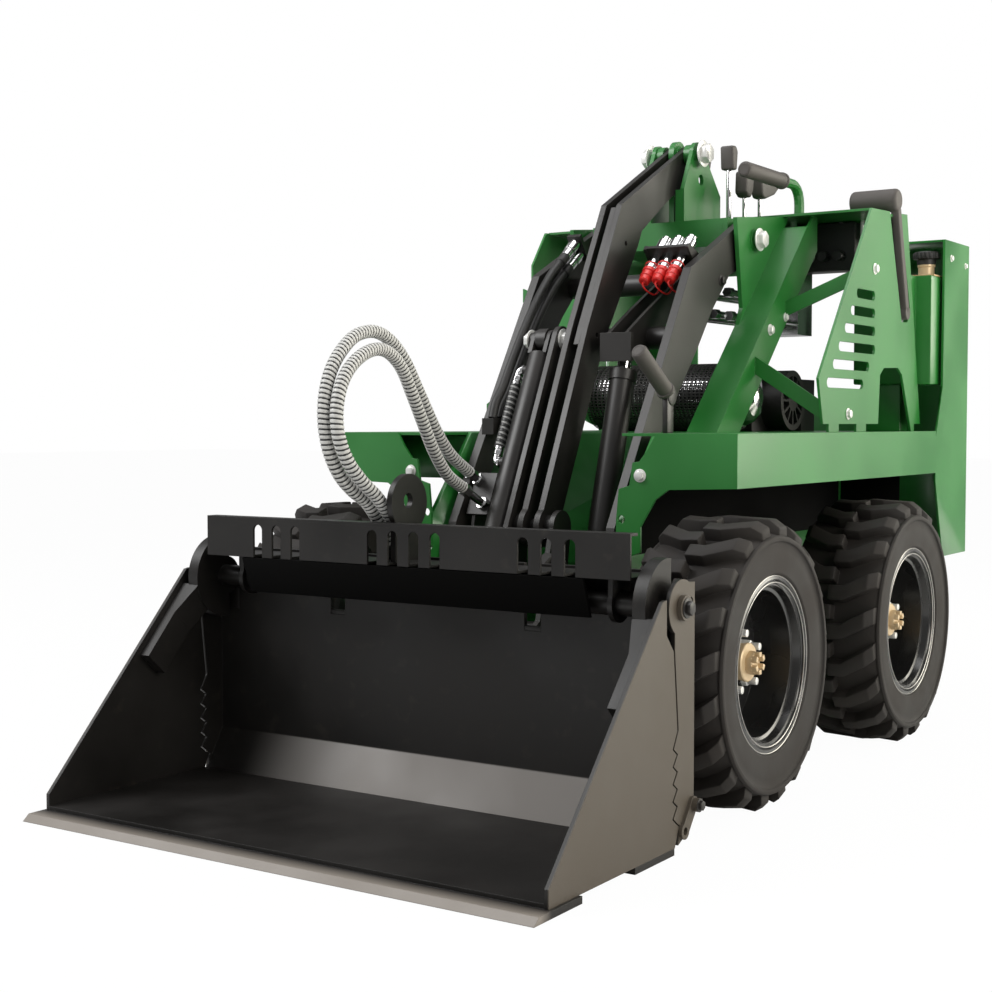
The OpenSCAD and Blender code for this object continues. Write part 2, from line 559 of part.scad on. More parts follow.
// the gap line between blade and clam, from the top to the bottom
gap_line = concat([[-76, 351], [-63, 232], [-61, 213]],
  [for (i = [0 : tooth_count - 1]) each [[-78, 183 - i * tooth_h], [-63, 172 - i * tooth_h]]], [[-53, 46], [-56, 40]]);
half_gap = 2.5;
function shifted(pts, d) = [for (p = pts) p + [d, 0]];
function turned(pts) = [for (i = [len(pts) - 1 : -1 : 0]) pts[i]];
blade_side = concat([[-52, 466], [0, 463], [0, 60], [-22, 30], [-58, 14]], turned(shifted(gap_line, half_gap)), [[-73.5, 385]]);
// back sheet with its ramp down to the clam's floor
sheet_pts = [[-64, 14], [-50, 14], [-4, 92], [-4, 480], [-14, 480], [-14, 96]];
arm_x = [side_x - 52, side_x - 27];
bearing_x = side_x - 129;
link_pins = [[-9, 76], [-42, 36]];
module blade() color(black) {
  difference() {
    side_plate(from(side_at, sheet_pts), plate_t - side_x - 1, 2 * (side_x - plate_t) + 2);
    both() box(clam_x - 18, clam_x + 18, back_y - 20, back_y + 6, 355, 481);
    both() box(arm_x[0] - 6, side_x, back_y - 20, back_y + 6, 350, 481);
  }
  both() difference() {
    union() {
      side_plate(from(side_at, blade_side), side_x - plate_t, plate_t);
      bar_x(side_x - plate_t, side_x, pin_k, 49);
      // stop link with its bolts
      along(side_at + link_pins[0], side_at + link_pins[1], 0) translate([side_x - 1, -13, 0]) cube([7, 26, dist(link_pins[0], link_pins[1])]);
      for (p = link_pins) bar_x(side_x - 1, side_x + 6, side_at + p, 14.5);
      bar_x(side_x + 5, side_x + 16, side_at + link_pins[0], 12);
    }
    bar_x(side_x - plate_t - 1, side_x + 1, pin_k, 14 + gap);
    bar_x(side_x - plate_t - 1, side_x + 1, pin_k + [33, 9], 7);
    bar_x(side_x - 2, side_x + 7, side_at + link_pins[1], 7);
  }
  // bearings of the clam tube
  both() difference() {
    union() {
      side_plate(from(side_at, [[-77, 469], [-77, 420], [-13, 396], [-13, 469]]), bearing_x, 10);
      bar_x(bearing_x, bearing_x + 10, pin_k, 34);
    }
    bar_x(bearing_x - 1, bearing_x + 11, pin_k, 22 + gap);
  }
  // lugs of the clam cylinders
  both() for (x = [clam_x - 24, clam_x + 14]) {
    box(x, x + 10, back_y - 1, pin_q[0], pin_q[1] - 24, pin_q[1] + 24);
    bar_x(x, x + 10, pin_q, 24);
  }
  both() bar_x(clam_x - 28, clam_x + 28, pin_q, 10);
}

spill_pts = [[spill_y, spill_z - 5], [spill_y, 470], [back_y - 10, 470], [back_y - 10, 475], [spill_y + 5, 475], [spill_y + 5, spill_z - 5],
  [spill_y + 27, spill_z - 5], [spill_y + 27, spill_z], [spill_y, spill_z]];
// slots as groups of [first x, count], a pitch apart
slot_groups = [[-364, 3], [-77, 4], [260, 3]];
slot_pitch = 48.5;
slot_w = 23;
eye_x = -30;
eye_at = [spill_y + 60, 590];
module spill_guard() color(black) {
  difference() {
    side_plate(spill_pts, -spill_x, 2 * spill_x);
    for (g = slot_groups, i = [0 : g[1] - 1]) translate([g[0] + i * slot_pitch, spill_y - 1, 469]) {
      cube([slot_w, 36, spill_z - 26 - 469]);
      translate([slot_w / 2, 0, spill_z - 26 - 469]) rotate([-90, 0, 0]) cylinder(h = 7, r = slot_w / 2);
    }
  }
  difference() {
    union() {
      box(eye_x - 6, eye_x + 6, spill_y + 20, back_y - 10, 474, 560);
      bar_x(eye_x - 6, eye_x + 6, eye_at + [4, -5], 56);
    }
    bar_x(eye_x - 7, eye_x + 7, eye_at, 14);
  }
  // fittings of the free hoses
  for (pts = [loop_1, loop_2]) let (e = pts[len(pts) - 1]) translate([e[0], e[1], 474]) {
    cylinder(h = e[2] - 474 - gap, r = 11);
    translate([0, 0, 6]) cylinder(h = 12, r = 14, $fn = 6);
  }
}

hitch_p = [[-4, 80], [-4, 260], [58, 180], [58, 118]];
hitch_e = [[-4, 80], [-4, 260], [58, 190], [173, 118], [173, 76], [143, 70]];
hitch_t = 12;
module hitch() color(black) difference() {
  union() {
    side_plate(from(side_at, hitch_p), mast_x + 18, hitch_t);
    bar_x(mast_x + 18, mast_x + 18 + hitch_t, pin_p, 34);
    right() {
      for (x = [mast_x + 18, ram_x + 16]) {
        side_plate(from(side_at, hitch_e), x, hitch_t);
        bar_x(x, x + hitch_t, pin_e, 28);
      }
      bar_x(mast_x + 18, mast_x + 18 + hitch_t, pin_p, 34);
    }
  }
  bar_x(-mast_x - 33, mast_x + 33, pin_p, 14 + gap);
}

// clam, points as [y from the back of the side plates, z]
floor_y = [blade_y - 481, blade_y - 72];
clam_side = concat([[-481, 12], [-481, 42], [-117, 438], [-104, 440], [-104, 380]], shifted(gap_line, -half_gap), [[-70.5, 12]]);
// bent arm inside the side plate as [x, along the arm] from its top, with its depth
arm_top = [-128, 410];
arm_tip = [-249, 276.5];
arm_l = dist(arm_top, arm_tip);
arm_depth = 60;
bent_pts = [[arm_x[0], -30], [arm_x[1], -30], [arm_x[1], 0], [side_x - plate_t, 0], [side_x - plate_t, arm_l],
  [side_x - plate_t - 25, arm_l], [side_x - plate_t - 25, 73], [arm_x[0], 6]];
arm_r = 84;
module clam_sides() color(black) both() side_plate(from(side_at, clam_side), side_x - plate_t, plate_t);
module clam_floor() color(black) {
  box(plate_t - side_x, side_x - plate_t, floor_y[0], floor_y[1], 12, 20);
  side_plate([[lip_y, 0], [lip_y + 140, 0], [lip_y + 140, 12], [lip_y + 14, 12]], -lip_x, 2 * lip_x);
  both() box(side_x - 60, side_x, blade_y - 212, floor_y[1], 0, 12);
}
module clam_tube() color(black) {
  bar_x(5 - arm_x[1], arm_x[1] - 5, pin_k, 22);
  both() {
    // half-round head and the bent arm
    difference() {
      bar_x(arm_x[0], arm_x[1], pin_k, arm_r);
      box(arm_x[0] - 1, arm_x[1] + 1, pin_k[0] + 10, pin_k[0] + arm_r + 1, pin_k[1] - arm_r, pin_k[1] + arm_r);
    }
    bar_x(arm_x[0], arm_x[1], pin_k, 40);
    translate([0, blade_y + arm_top[0], arm_top[1]]) rotate([atan2(arm_tip[1] - arm_top[1], arm_tip[0] - arm_top[0]), 0, 0])
      linear_extrude(arm_depth) polygon(bent_pts);
    bar_x(arm_x[0], side_x + 9, pin_k, 14);
    bar_x(side_x + gap, side_x + 9, pin_k, 22);
    // levers of the clam cylinders
    side_plate(from(pin_k, [[-15, 20], [83, 70], [105, 26], [10, -20]]), clam_x - 10, 20);
    bar_x(clam_x - 10, clam_x + 10, pin_r, 24);
    bar_x(clam_x - 10, clam_x + 10, pin_k, 30);
  }
}
clam_r = 20;
clam_rod_r = 11;
clam_l = dist(pin_q, pin_r);
module clam_barrels() color(black) both() along(pin_q, pin_r, clam_x) {
  bored(24, clam_l - 162, 34, clam_r, clam_rod_r);
  difference() {
    union() {
      translate([-12, -16, 0]) cube([24, 32, 26]);
      bar(-12, 12, clam_r);
    }
    bar(-13, 13, 10 + gap);
  }
}
module clam_rods() color(chrome) both() along(pin_q, pin_r, clam_x) {
  translate([0, 0, clam_l - 187]) cylinder(h = 133, r = clam_rod_r);
  translate([-26, -12, clam_l - 56]) cube([52, 24, 12]);
  for (x = [-26, 14]) {
    translate([x, -12, clam_l - 46]) cube([12, 24, 46]);
    translate([0, 0, clam_l]) bar(x, x + 12, 18);
  }
}

// wheels: a tyre of flat facets under straight lugs
half = tyre_w / 2;
facets = 2 * lug_count;
seat = 0.4;
// tyre section as [radius, x], without the lugs
carcass = [[rim_r + seat, half - 12], [rim_r + 40, half - 3], [tyre_r - 52, half - 8], [tyre_r - 28, half - 40]];
section = concat([for (p = carcass) [p[0], -p[1]]], turned(carcass));
module tyre_ring(pts) {
  m = len(pts);
  polyhedron(
    points = [for (i = [0 : facets - 1], p = pts) let (a = (i + 0.5) * 360 / facets, r = p[0] / cos(180 / facets)) [p[1], r * sin(a), r * cos(a)]],
    faces = [for (i = [0 : facets - 1], k = [0 : m - 1]) [i * m + k, ((i + 1) % facets) * m + k, ((i + 1) % facets) * m + (k + 1) % m, i * m + (k + 1) % m]]);
}
// a lug seen from above as [x, along the tread], and its section as [x, radius]
tread_pts = [[-4, -12], [30, -12], [half + 4, 32], [half + 4, 56], [28, 12], [-4, 12]];
tread_section = [[-5, tyre_r - 50], [half, tyre_r - 78], [half, tyre_r - 24], [half - 26, tyre_r - 5], [0, tyre_r - 0.4], [-5, tyre_r - 0.4]];
module lug() intersection() {
  linear_extrude(tyre_r + 10) polygon(tread_pts);
  rotate([90, 0, 0]) translate([0, 0, -70]) linear_extrude(140) polygon(tread_section);
}
module tyre() color([0.2, 0.18, 0.17]) {
  tyre_ring(section);
  for (i = [0 : lug_count - 1]) {
    rotate([i * 360 / lug_count, 0, 0]) lug();
    rotate([(i + 0.5) * 360 / lug_count, 0, 0]) mirror([1, 0, 0]) lug();
  }
}
// rim section as [radius, x]: two lips, the bead seats, the well and the disc
disc_x = [-15, -5];
rim_pts = [[rim_r - 16, -half + 14], [rim_r, -half + 14], [rim_r, -half + 24], [rim_r - 12, -half + 28], [rim_r - 22, -30], [rim_r - 22, 30],
  [rim_r - 12, half - 28], [rim_r, half - 24], [rim_r, half - 14], [rim_r - 8, half - 12], [rim_r - 14, half - 20], [rim_r - 20, half - 20], [rim_r - 24, half - 34],
  [rim_r - 30, half - 36], [rim_r - 32, 30], [rim_r - 32, disc_x[1]], [0, disc_x[1]], [0, disc_x[0]], [rim_r - 32, disc_x[0]], [rim_r - 32, -30], [rim_r - 20, -half + 26]];
stud_count = 5;
module ring(pts) rotate([0, 90, 0]) rotate_extrude() polygon(pts);
module rim() color([0.1, 0.1, 0.1]) {
  ring(rim_pts);
  bar_x(disc_x[1] - 3, 34, [0, 0], 35);
  bar_x(33, 40, [0, 0], 30);
  bar_x(39, 54, [0, 0], 14);
  for (i = [0 : stud_count - 1]) rotate([i * 360 / stud_count, 0, 0]) bar_x(disc_x[1] - 3, 16, [0, 57], 9);
}
module at_wheel(s, y) translate([s * wheel_x, y, tyre_r]) if (s > 0) children(); else right() children();
module tyre_fl() at_wheel(1, axle_y[0]) tyre();
module tyre_fr() at_wheel(-1, axle_y[0]) tyre();
module tyre_rl() at_wheel(1, axle_y[1]) tyre();
module tyre_rr() at_wheel(-1, axle_y[1]) tyre();
module rim_fl() at_wheel(1, axle_y[0]) rim();
module rim_fr() at_wheel(-1, axle_y[0]) rim();
module rim_rl() at_wheel(1, axle_y[1]) rim();
module rim_rr() at_wheel(-1, axle_y[1]) rim();

module placed() translate([0, -mid_y, 0]) children();
placed() tub();
placed() fender_left();
placed() fender_right();
placed() axle_motors();
placed() upright_left();
placed() upright_right();
placed() tower();
placed() console();
placed() guard_left();
placed() guard_right();
placed() rear_panel();
placed() tank();
placed() tank_cap();
placed() engine();
placed() muffler();
placed() hydraulic_lines();
placed() levers();
placed() knobs();
placed() cheek_left();
placed() cheek_right();
placed() arm_tubes();
placed() couplers();
placed() dust_caps();
placed() arm_hoses();
placed() boom();
placed() mast();
placed() ports();
placed() loop_hose_1();
placed() loop_hose_2();
placed() tilt_barrel();
placed() tilt_hose();
placed() tilt_rod();
placed() lift_barrel();
placed() lift_rod();
placed() blade();
placed() spill_guard();
placed() hitch();
placed() clam_barrels();
placed() clam_sides();
placed() clam_floor();
placed() clam_tube();
placed() clam_rods();
placed() tyre_fl();
placed() tyre_fr();
placed() tyre_rl();
placed() tyre_rr();
placed() rim_fl();
placed() rim_fr();
placed() rim_rl();
placed() rim_rr();
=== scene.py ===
# %% [markdown]
# A compact wheeled loader with a four-in-one bucket. The CAD model comes in as a fixed frame in metres, and
# this lesson dresses it: camera and light first, then the finishes, the free hoses, and the pieces that sit
# on the solids or take their place. The machine faces -Y, its left side is +X, and the ground is at zero.

# %% Load the frame
import math

import bpy
from mathutils import Matrix, Vector


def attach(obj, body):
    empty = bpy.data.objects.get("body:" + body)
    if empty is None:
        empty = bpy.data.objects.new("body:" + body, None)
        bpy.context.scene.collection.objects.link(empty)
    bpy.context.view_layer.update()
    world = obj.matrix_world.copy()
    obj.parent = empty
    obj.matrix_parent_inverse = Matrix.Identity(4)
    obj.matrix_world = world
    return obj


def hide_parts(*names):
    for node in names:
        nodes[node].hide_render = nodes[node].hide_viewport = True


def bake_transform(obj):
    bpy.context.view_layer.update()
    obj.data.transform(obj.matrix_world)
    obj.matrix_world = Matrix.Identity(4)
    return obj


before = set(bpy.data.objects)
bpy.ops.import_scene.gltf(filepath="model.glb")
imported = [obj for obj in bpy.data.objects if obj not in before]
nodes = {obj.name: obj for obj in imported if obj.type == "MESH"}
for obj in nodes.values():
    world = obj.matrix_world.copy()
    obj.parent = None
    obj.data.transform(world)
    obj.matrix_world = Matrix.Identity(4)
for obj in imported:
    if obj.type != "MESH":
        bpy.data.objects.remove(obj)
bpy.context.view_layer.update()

print("loaded", len(nodes), "CAD pieces")

# %% [markdown]
# The photograph was taken from the machine's front left, at about half its height, with a lens that looks
# almost level. The camera's place came from the size of the wheels and the bucket in the picture, so that the
# model can be laid over the photograph.

# %% Camera
VIEW_FROM = (1.7675, -3.0589, 0.7366)
VIEW_TURN = 33.53
VIEW_DROP = 2.64
SENSOR_MM = 36
LENS_MM = 57.2
scene = bpy.context.scene
camera_data = bpy.data.cameras.new("camera")
camera = bpy.data.objects.new("camera", camera_data)
scene.collection.objects.link(camera)
camera.location = VIEW_FROM
camera.rotation_euler = (math.radians(90 - VIEW_DROP), 0, math.radians(VIEW_TURN))
camera_data.sensor_width = SENSOR_MM
camera_data.lens = LENS_MM
bpy.context.scene.camera = camera
print("camera at", tuple(camera.location))

# %% [markdown]
# A product picture on white has soft light and hardly any shadow. The floor and the world are white to the
# camera only, so the paint is lit at a plain level and keeps its colour. The floor's share of white stays a
# little below one, which leaves a trace of the machine's shadow on it.

# %% White floor and world
WHITE = (1, 1, 1, 1)
FLOOR_GREY = (0.8, 0.8, 0.8, 1)
FLOOR_SHARE = 0.975
WORLD_LIGHT = 0.34
scene.view_settings.view_transform = "Standard"


def maths(tree, operation, *values):
    """A Math node on sockets or plain numbers."""
    node = tree.nodes.new("ShaderNodeMath")
    node.operation = operation
    for socket, value in zip(node.inputs, values):
        if isinstance(value, (int, float)):
            socket.default_value = value
        else:
            tree.links.new(value, socket)
    return node.outputs[0]


def white_to_camera(tree, plain, white, share, output):
    """Shows a share of the white shader to camera rays, and the plain shader to all other light."""
    ray = tree.nodes.new("ShaderNodeLightPath").outputs["Is Camera Ray"]
    mix = tree.nodes.new("ShaderNodeMixShader")
    tree.links.new(maths(tree, "MULTIPLY", ray, share), mix.inputs[0])
    tree.links.new(plain.outputs[0], mix.inputs[1])
    tree.links.new(white.outputs[0], mix.inputs[2])
    tree.links.new(mix.outputs[0], output.inputs["Surface"])


world = bpy.data.worlds.new("studio")
world.use_nodes = True
scene.world = world
sky = world.node_tree
sky.nodes.clear()
sky_dim = sky.nodes.new("ShaderNodeBackground")
sky_dim.inputs["Color"].default_value = WHITE
sky_dim.inputs["Strength"].default_value = WORLD_LIGHT
sky_white = sky.nodes.new("ShaderNodeBackground")
sky_white.inputs["Color"].default_value = WHITE
white_to_camera(sky, sky_dim, sky_white, 1, sky.nodes.new("ShaderNodeOutputWorld"))

bpy.ops.object.select_all(action="DESELECT")
bpy.ops.mesh.primitive_plane_add(size=60, location=(0, 0, 0))
floor = bpy.context.object
floor.name = "studio_floor"
floor_paint = bpy.data.materials.new("studio_floor")
floor_paint.use_nodes = True
ground = floor_paint.node_tree
ground.nodes.clear()
ground_dim = ground.nodes.new("ShaderNodeBsdfDiffuse")
ground_dim.inputs["Color"].default_value = FLOOR_GREY
ground_white = ground.nodes.new("ShaderNodeEmission")
ground_white.inputs["Color"].default_value = WHITE
white_to_camera(ground, ground_dim, ground_white, FLOOR_SHARE, ground.nodes.new("ShaderNodeOutputMaterial"))
floor.data.materials.append(floor_paint)
print("white floor and world ready")

# %% [markdown]
# Four square panels light the machine. One stands high up at the front, where the sloping faces mirror it,
# one at the back, where the left side mirrors it, one to the left, and one hangs above. Two are a
# little warm.

# %% Light panels
def panel_light(name, spot, aim, size, power, tint=(1, 1, 1)):
    """A square lamp that looks at a point."""
    lamp = bpy.data.lights.new(name, "AREA")
    lamp.shape = "SQUARE"
    lamp.size = size
    lamp.energy = power
    lamp.color = tint
    lamp_object = bpy.data.objects.new(name, lamp)
    scene.collection.objects.link(lamp_object)
    lamp_object.location = spot
    lamp_object.rotation_euler = (Vector(aim) - Vector(spot)).to_track_quat("-Z", "Y").to_euler()


panel_light("key_panel", (-2.6, -2.6, 3.7), (0, -0.3, 0.5), 2.8, 190)
panel_light("side_panel", (3.4, 3.0, 1.9), (0.3, 0.2, 0.6), 3.0, 165, (1, 0.96, 0.84))
panel_light("right_panel", (4.2, -1.2, 2.2), (0, 0, 0.5), 2.2, 100, (1, 0.96, 0.88))
panel_light("top_panel", (0.2, 0.4, 4.4), (0, 0, 0.5), 2.6, 70)
print("light panels ready")

# %% [markdown]
# Every finish is built from the same few ideas: a base colour that drifts a little over the surface, a
# roughness that drifts with it, a fine bump at the scale of the real grain, and a softened edge that catches
# the light, as sprayed and rolled metal does. Patterns read Object coordinates, so they stay on the piece.

# %% Finish helpers
COAT_ROUGH = 0.15
GRAIN_DEPTH = 0.001
finishes = {}


def noise(tree, coords, scale, detail=3.0):
    """A noise of so many cells to the metre."""
    node = tree.nodes.new("ShaderNodeTexNoise")
    node.inputs["Scale"].default_value = scale
    node.inputs["Detail"].default_value = detail
    tree.links.new(coords, node.inputs["Vector"])
    return node.outputs["Fac"]


def ranged(tree, value, low, high, from_low=0.35, from_high=0.65):
    """A value moved from one range to another, and held inside it."""
    node = tree.nodes.new("ShaderNodeMapRange")
    node.inputs["From Min"].default_value = from_low
    node.inputs["From Max"].default_value = from_high
    node.inputs["To Min"].default_value = low
    node.inputs["To Max"].default_value = high
    tree.links.new(value, node.inputs["Value"])
    return node.outputs["Result"]


def mixed(tree, value, first, second):
    """A mix of two colours, each given as numbers or as a socket."""
    node = tree.nodes.new("ShaderNodeMix")
    node.data_type = "RGBA"
    tree.links.new(value, node.inputs[0])
    for socket, colour in ((node.inputs[6], first), (node.inputs[7], second)):
        if isinstance(colour, tuple):
            socket.default_value = (*colour, 1)
        else:
            tree.links.new(colour, socket)
    return node.outputs[2]


def finish(name, colours, rough, grain, bump, metal=0.0, drift=4.0, edge=0.0015, coat=0.0, worn=None,
           shine=0.5):
    """A finish from two colours, a roughness range, and a grain of so many bumps to the metre."""
    material = bpy.data.materials.new(name)
    material.use_nodes = True
    tree = material.node_tree
    shader = tree.nodes["Principled BSDF"]
    shader.inputs["Metallic"].default_value = metal
    shader.inputs["Coat Weight"].default_value = coat
    shader.inputs["Specular IOR Level"].default_value = shine
    shader.inputs["Coat Roughness"].default_value = COAT_ROUGH
    coords = tree.nodes.new("ShaderNodeTexCoord").outputs["Object"]
    broad = noise(tree, coords, drift)
    fine = noise(tree, coords, grain, 2.0)
    colour = mixed(tree, ranged(tree, broad, 0, 1), colours[0], colours[1])
    relief = tree.nodes.new("ShaderNodeBump")
    relief.inputs["Strength"].default_value = bump
    relief.inputs["Distance"].default_value = GRAIN_DEPTH
    tree.links.new(fine, relief.inputs["Height"])
    soft = tree.nodes.new("ShaderNodeBevel")
    soft.samples = 3
    soft.inputs["Radius"].default_value = edge
    tree.links.new(relief.outputs["Normal"], soft.inputs["Normal"])
    tree.links.new(soft.outputs["Normal"], shader.inputs["Normal"])
    if worn:
        patch = ranged(tree, noise(tree, coords, drift * 7, 6.0), 0, 1, 0.6, 0.72)
        colour = mixed(tree, patch, colour, worn)
    tree.links.new(colour, shader.inputs["Base Color"])
    tree.links.new(ranged(tree, broad, rough[0], rough[1]), shader.inputs["Roughness"])
    finishes[name] = material
    return material


print("finish helpers ready")

# %% [markdown]
# The machine is sprayed green, with satin black on the arms and the bucket. The other finishes are bright and
# plated metal, rubber and plastic. Rubber, and a matt near-black that is painted shade, shine less than paint
# does.

# %% Finishes
BUCKET_BLACK = ((0.0056, 0.0050, 0.0045), (0.0112, 0.0100, 0.0090))
finish("green_paint", ((0.014, 0.146, 0.021), (0.020, 0.178, 0.029)), (0.30, 0.42), 900, 0.05, coat=0.2)
finish("black_paint", ((0.0096, 0.0086, 0.0078), (0.0160, 0.0142, 0.0128)), (0.36, 0.48), 1400, 0.08)
finish("bucket_paint", BUCKET_BLACK, (0.36, 0.54), 700, 0.08, worn=(0.015, 0.013, 0.011), shine=0.34)
finish("lip_paint", BUCKET_BLACK, (0.36, 0.54), 700, 0.08, shine=0.34)
finish("chrome", ((0.66, 0.66, 0.67), (0.78, 0.78, 0.78)), (0.08, 0.18), 500, 0.02, metal=1.0, edge=0.0006)
finish("steel", ((0.36, 0.35, 0.34), (0.48, 0.47, 0.45)), (0.26, 0.40), 800, 0.06, metal=1.0, edge=0.0006)
finish("cast_iron", ((0.010, 0.010, 0.010), (0.020, 0.019, 0.018)), (0.46, 0.62), 350, 0.30)
finish("tyre_rubber", ((0.0105, 0.0086, 0.0075), (0.0190, 0.0158, 0.0138)), (0.62, 0.80), 420, 0.16,
       drift=9.0, edge=0.003, shine=0.36)
finish("rim_black", ((0.006, 0.006, 0.006), (0.011, 0.011, 0.011)), (0.20, 0.32), 900, 0.04, coat=0.4)
finish("brass", ((0.56, 0.42, 0.25), (0.66, 0.52, 0.33)), (0.30, 0.44), 600, 0.05, metal=0.25, edge=0.0006)
finish("grip_rubber", ((0.052, 0.046, 0.042), (0.070, 0.063, 0.058)), (0.55, 0.70), 900, 0.12)
finish("cap_red", ((0.54, 0.018, 0.016), (0.66, 0.030, 0.024)), (0.28, 0.40), 500, 0.05)
finish("hose_rubber", ((0.009, 0.009, 0.009), (0.016, 0.015, 0.014)), (0.44, 0.60), 600, 0.14)
finish("zinc", ((0.70, 0.70, 0.68), (0.84, 0.84, 0.82)), (0.24, 0.38), 900, 0.05, metal=0.35, edge=0.0005)
# painted shade: a matt near-black for sheets that stand where there is only shade
finish("painted_shade_black", ((0.0012, 0.0012, 0.0011), (0.0020, 0.0019, 0.0018)), (0.85, 0.95), 400, 0.10,
       shine=0.08)
print("finishes:", ", ".join(sorted(finishes)))

# %% [markdown]
# The bucket shows that it has worked, and it carries painted light. Its outer sides get a pale colour that is
# a painted sheen from the side light, the ramp behind the floor gets a painted highlight, weaker at its right
# end, and the cutting edge is worn along its front. Each of these is a colour that is laid over the paint
# where the Object coordinates say so.

# %% Worn bucket with painted sheen and highlight
# the side and ramp colours are painted light: a sheen on the outer sides and a highlight on the ramp
SIDE_SHEEN = (0.072, 0.060, 0.046)
RAMP_HIGHLIGHT = (0.17, 0.155, 0.14)
LIP_STEEL = (0.20, 0.178, 0.155)


def axes_of(tree):
    """The Object coordinates as separate X, Y and Z."""
    split = tree.nodes.new("ShaderNodeSeparateXYZ")
    tree.links.new(tree.nodes["Texture Coordinate"].outputs["Object"], split.inputs[0])
    return split.outputs


def laid_over(tree, share, colour):
    """Lays a colour over the base colour where the share is 1."""
    base = tree.nodes["Principled BSDF"].inputs["Base Color"]
    tree.links.new(mixed(tree, share, base.links[0].from_socket, colour), base)


bucket_tree = finishes["bucket_paint"].node_tree
bucket_axes = axes_of(bucket_tree)
far_out = maths(bucket_tree, "ABSOLUTE", bucket_axes["X"])
# painted sheen on the bucket's outer sides
laid_over(bucket_tree, ranged(bucket_tree, far_out, 0, 1, 0.5505, 0.5525), SIDE_SHEEN)
# the ramp's painted highlight lies below one height, behind one depth and between the sides
ramp_highlight_share = 1
for axis, low, high, at_low, at_high in (("Z", 1, 0, 0.094, 0.098), ("Y", 0, 1, -0.676, -0.668),
                                         ("X", 0, 1, -0.45, -0.15), ("X", 1, 0, 0.5435, 0.5445)):
    inside = ranged(bucket_tree, bucket_axes[axis], low, high, at_low, at_high)
    ramp_highlight_share = maths(bucket_tree, "MULTIPLY", ramp_highlight_share, inside)
# painted highlight on the ramp
laid_over(bucket_tree, ramp_highlight_share, RAMP_HIGHLIGHT)
lip_tree = finishes["lip_paint"].node_tree
laid_over(lip_tree, ranged(lip_tree, axes_of(lip_tree)["Y"], 1, 0, -1.118, -1.085), LIP_STEEL)
print("the bucket is worn")

# %% [markdown]
# The solids take their finish here, by the piece's name, also those that a later step replaces. Only their
# material slots change.

# %% Dress the CAD pieces
dress = {
    "green_paint": "tub fender_left fender_right upright_left upright_right tower console guard_left "
                   "guard_right rear_panel tank",
    "black_paint": "cheek_left cheek_right arm_tubes boom mast tilt_barrel lift_barrel hitch clam_barrels",
    "bucket_paint": "blade spill_guard clam_sides clam_tube",
    "lip_paint": "clam_floor",
    "chrome": "tilt_rod lift_rod clam_rods couplers ports tilt_hose hydraulic_lines muffler",
    "cast_iron": "axle_motors engine",
    "grip_rubber": "knobs tank_cap",
    "steel": "levers",
    "cap_red": "dust_caps",
    "hose_rubber": "arm_hoses",
    "tyre_rubber": "tyre_fl tyre_fr tyre_rl tyre_rr",
    "rim_black": "rim_fl rim_fr rim_rl rim_rr",
}
for finish_name, names in dress.items():
    for name in names.split():
        slots = nodes[name].data.materials
        slots.clear()
        slots.append(finishes[finish_name])
print("dressed", sum(len(names.split()) for names in dress.values()), "CAD pieces")

# %% [markdown]
# Hoses and straps are tubes along a smooth line. A curve with a round bevel would be quicker, but the guard
# on the free hoses has a real ridge, so the tube is swept ring by ring and its radius may change on the way.
# It has its own UV map, round and along, for patterns that follow it.

# %% Routes and tubes
MID = 295.0
FINE_STEPS = 24


def place(x, y, z):
    """Metres in the machine's frame from the source's millimetres, which start at the front axle."""
    return Vector((x, y - MID, z)) / 1000


def smooth_route(points, steps):
    """A Catmull-Rom line through the points, with so many steps on each stretch."""
    line = []
    ends = [points[0] * 2 - points[1]] + points + [points[-1] * 2 - points[-2]]
    for a, b, c, d in zip(ends, ends[1:], ends[2:], ends[3:]):
        for i in range(steps):
            t = i / steps
            line.append(0.5 * (2 * b + (c - a) * t + (2 * a - 5 * b + 4 * c - d) * t * t
                               + (3 * b - a - 3 * c + d) * t ** 3))
    return line + [points[-1]]


def even_route(points, count):
    """The same line with points at equal distances, and its length."""
    fine = smooth_route(points, FINE_STEPS)
    far = [0.0]
    for a, b in zip(fine, fine[1:]):
        far.append(far[-1] + (b - a).length)
    line = []
    k = 0
    for i in range(count):
        goal = far[-1] * i / (count - 1)
        while k < len(far) - 2 and far[k + 1] < goal:
            k += 1
        share = (goal - far[k]) / max(far[k + 1] - far[k], 1e-9)
        line.append(fine[k].lerp(fine[k + 1], min(max(share, 0), 1)))
    return line, far[-1]


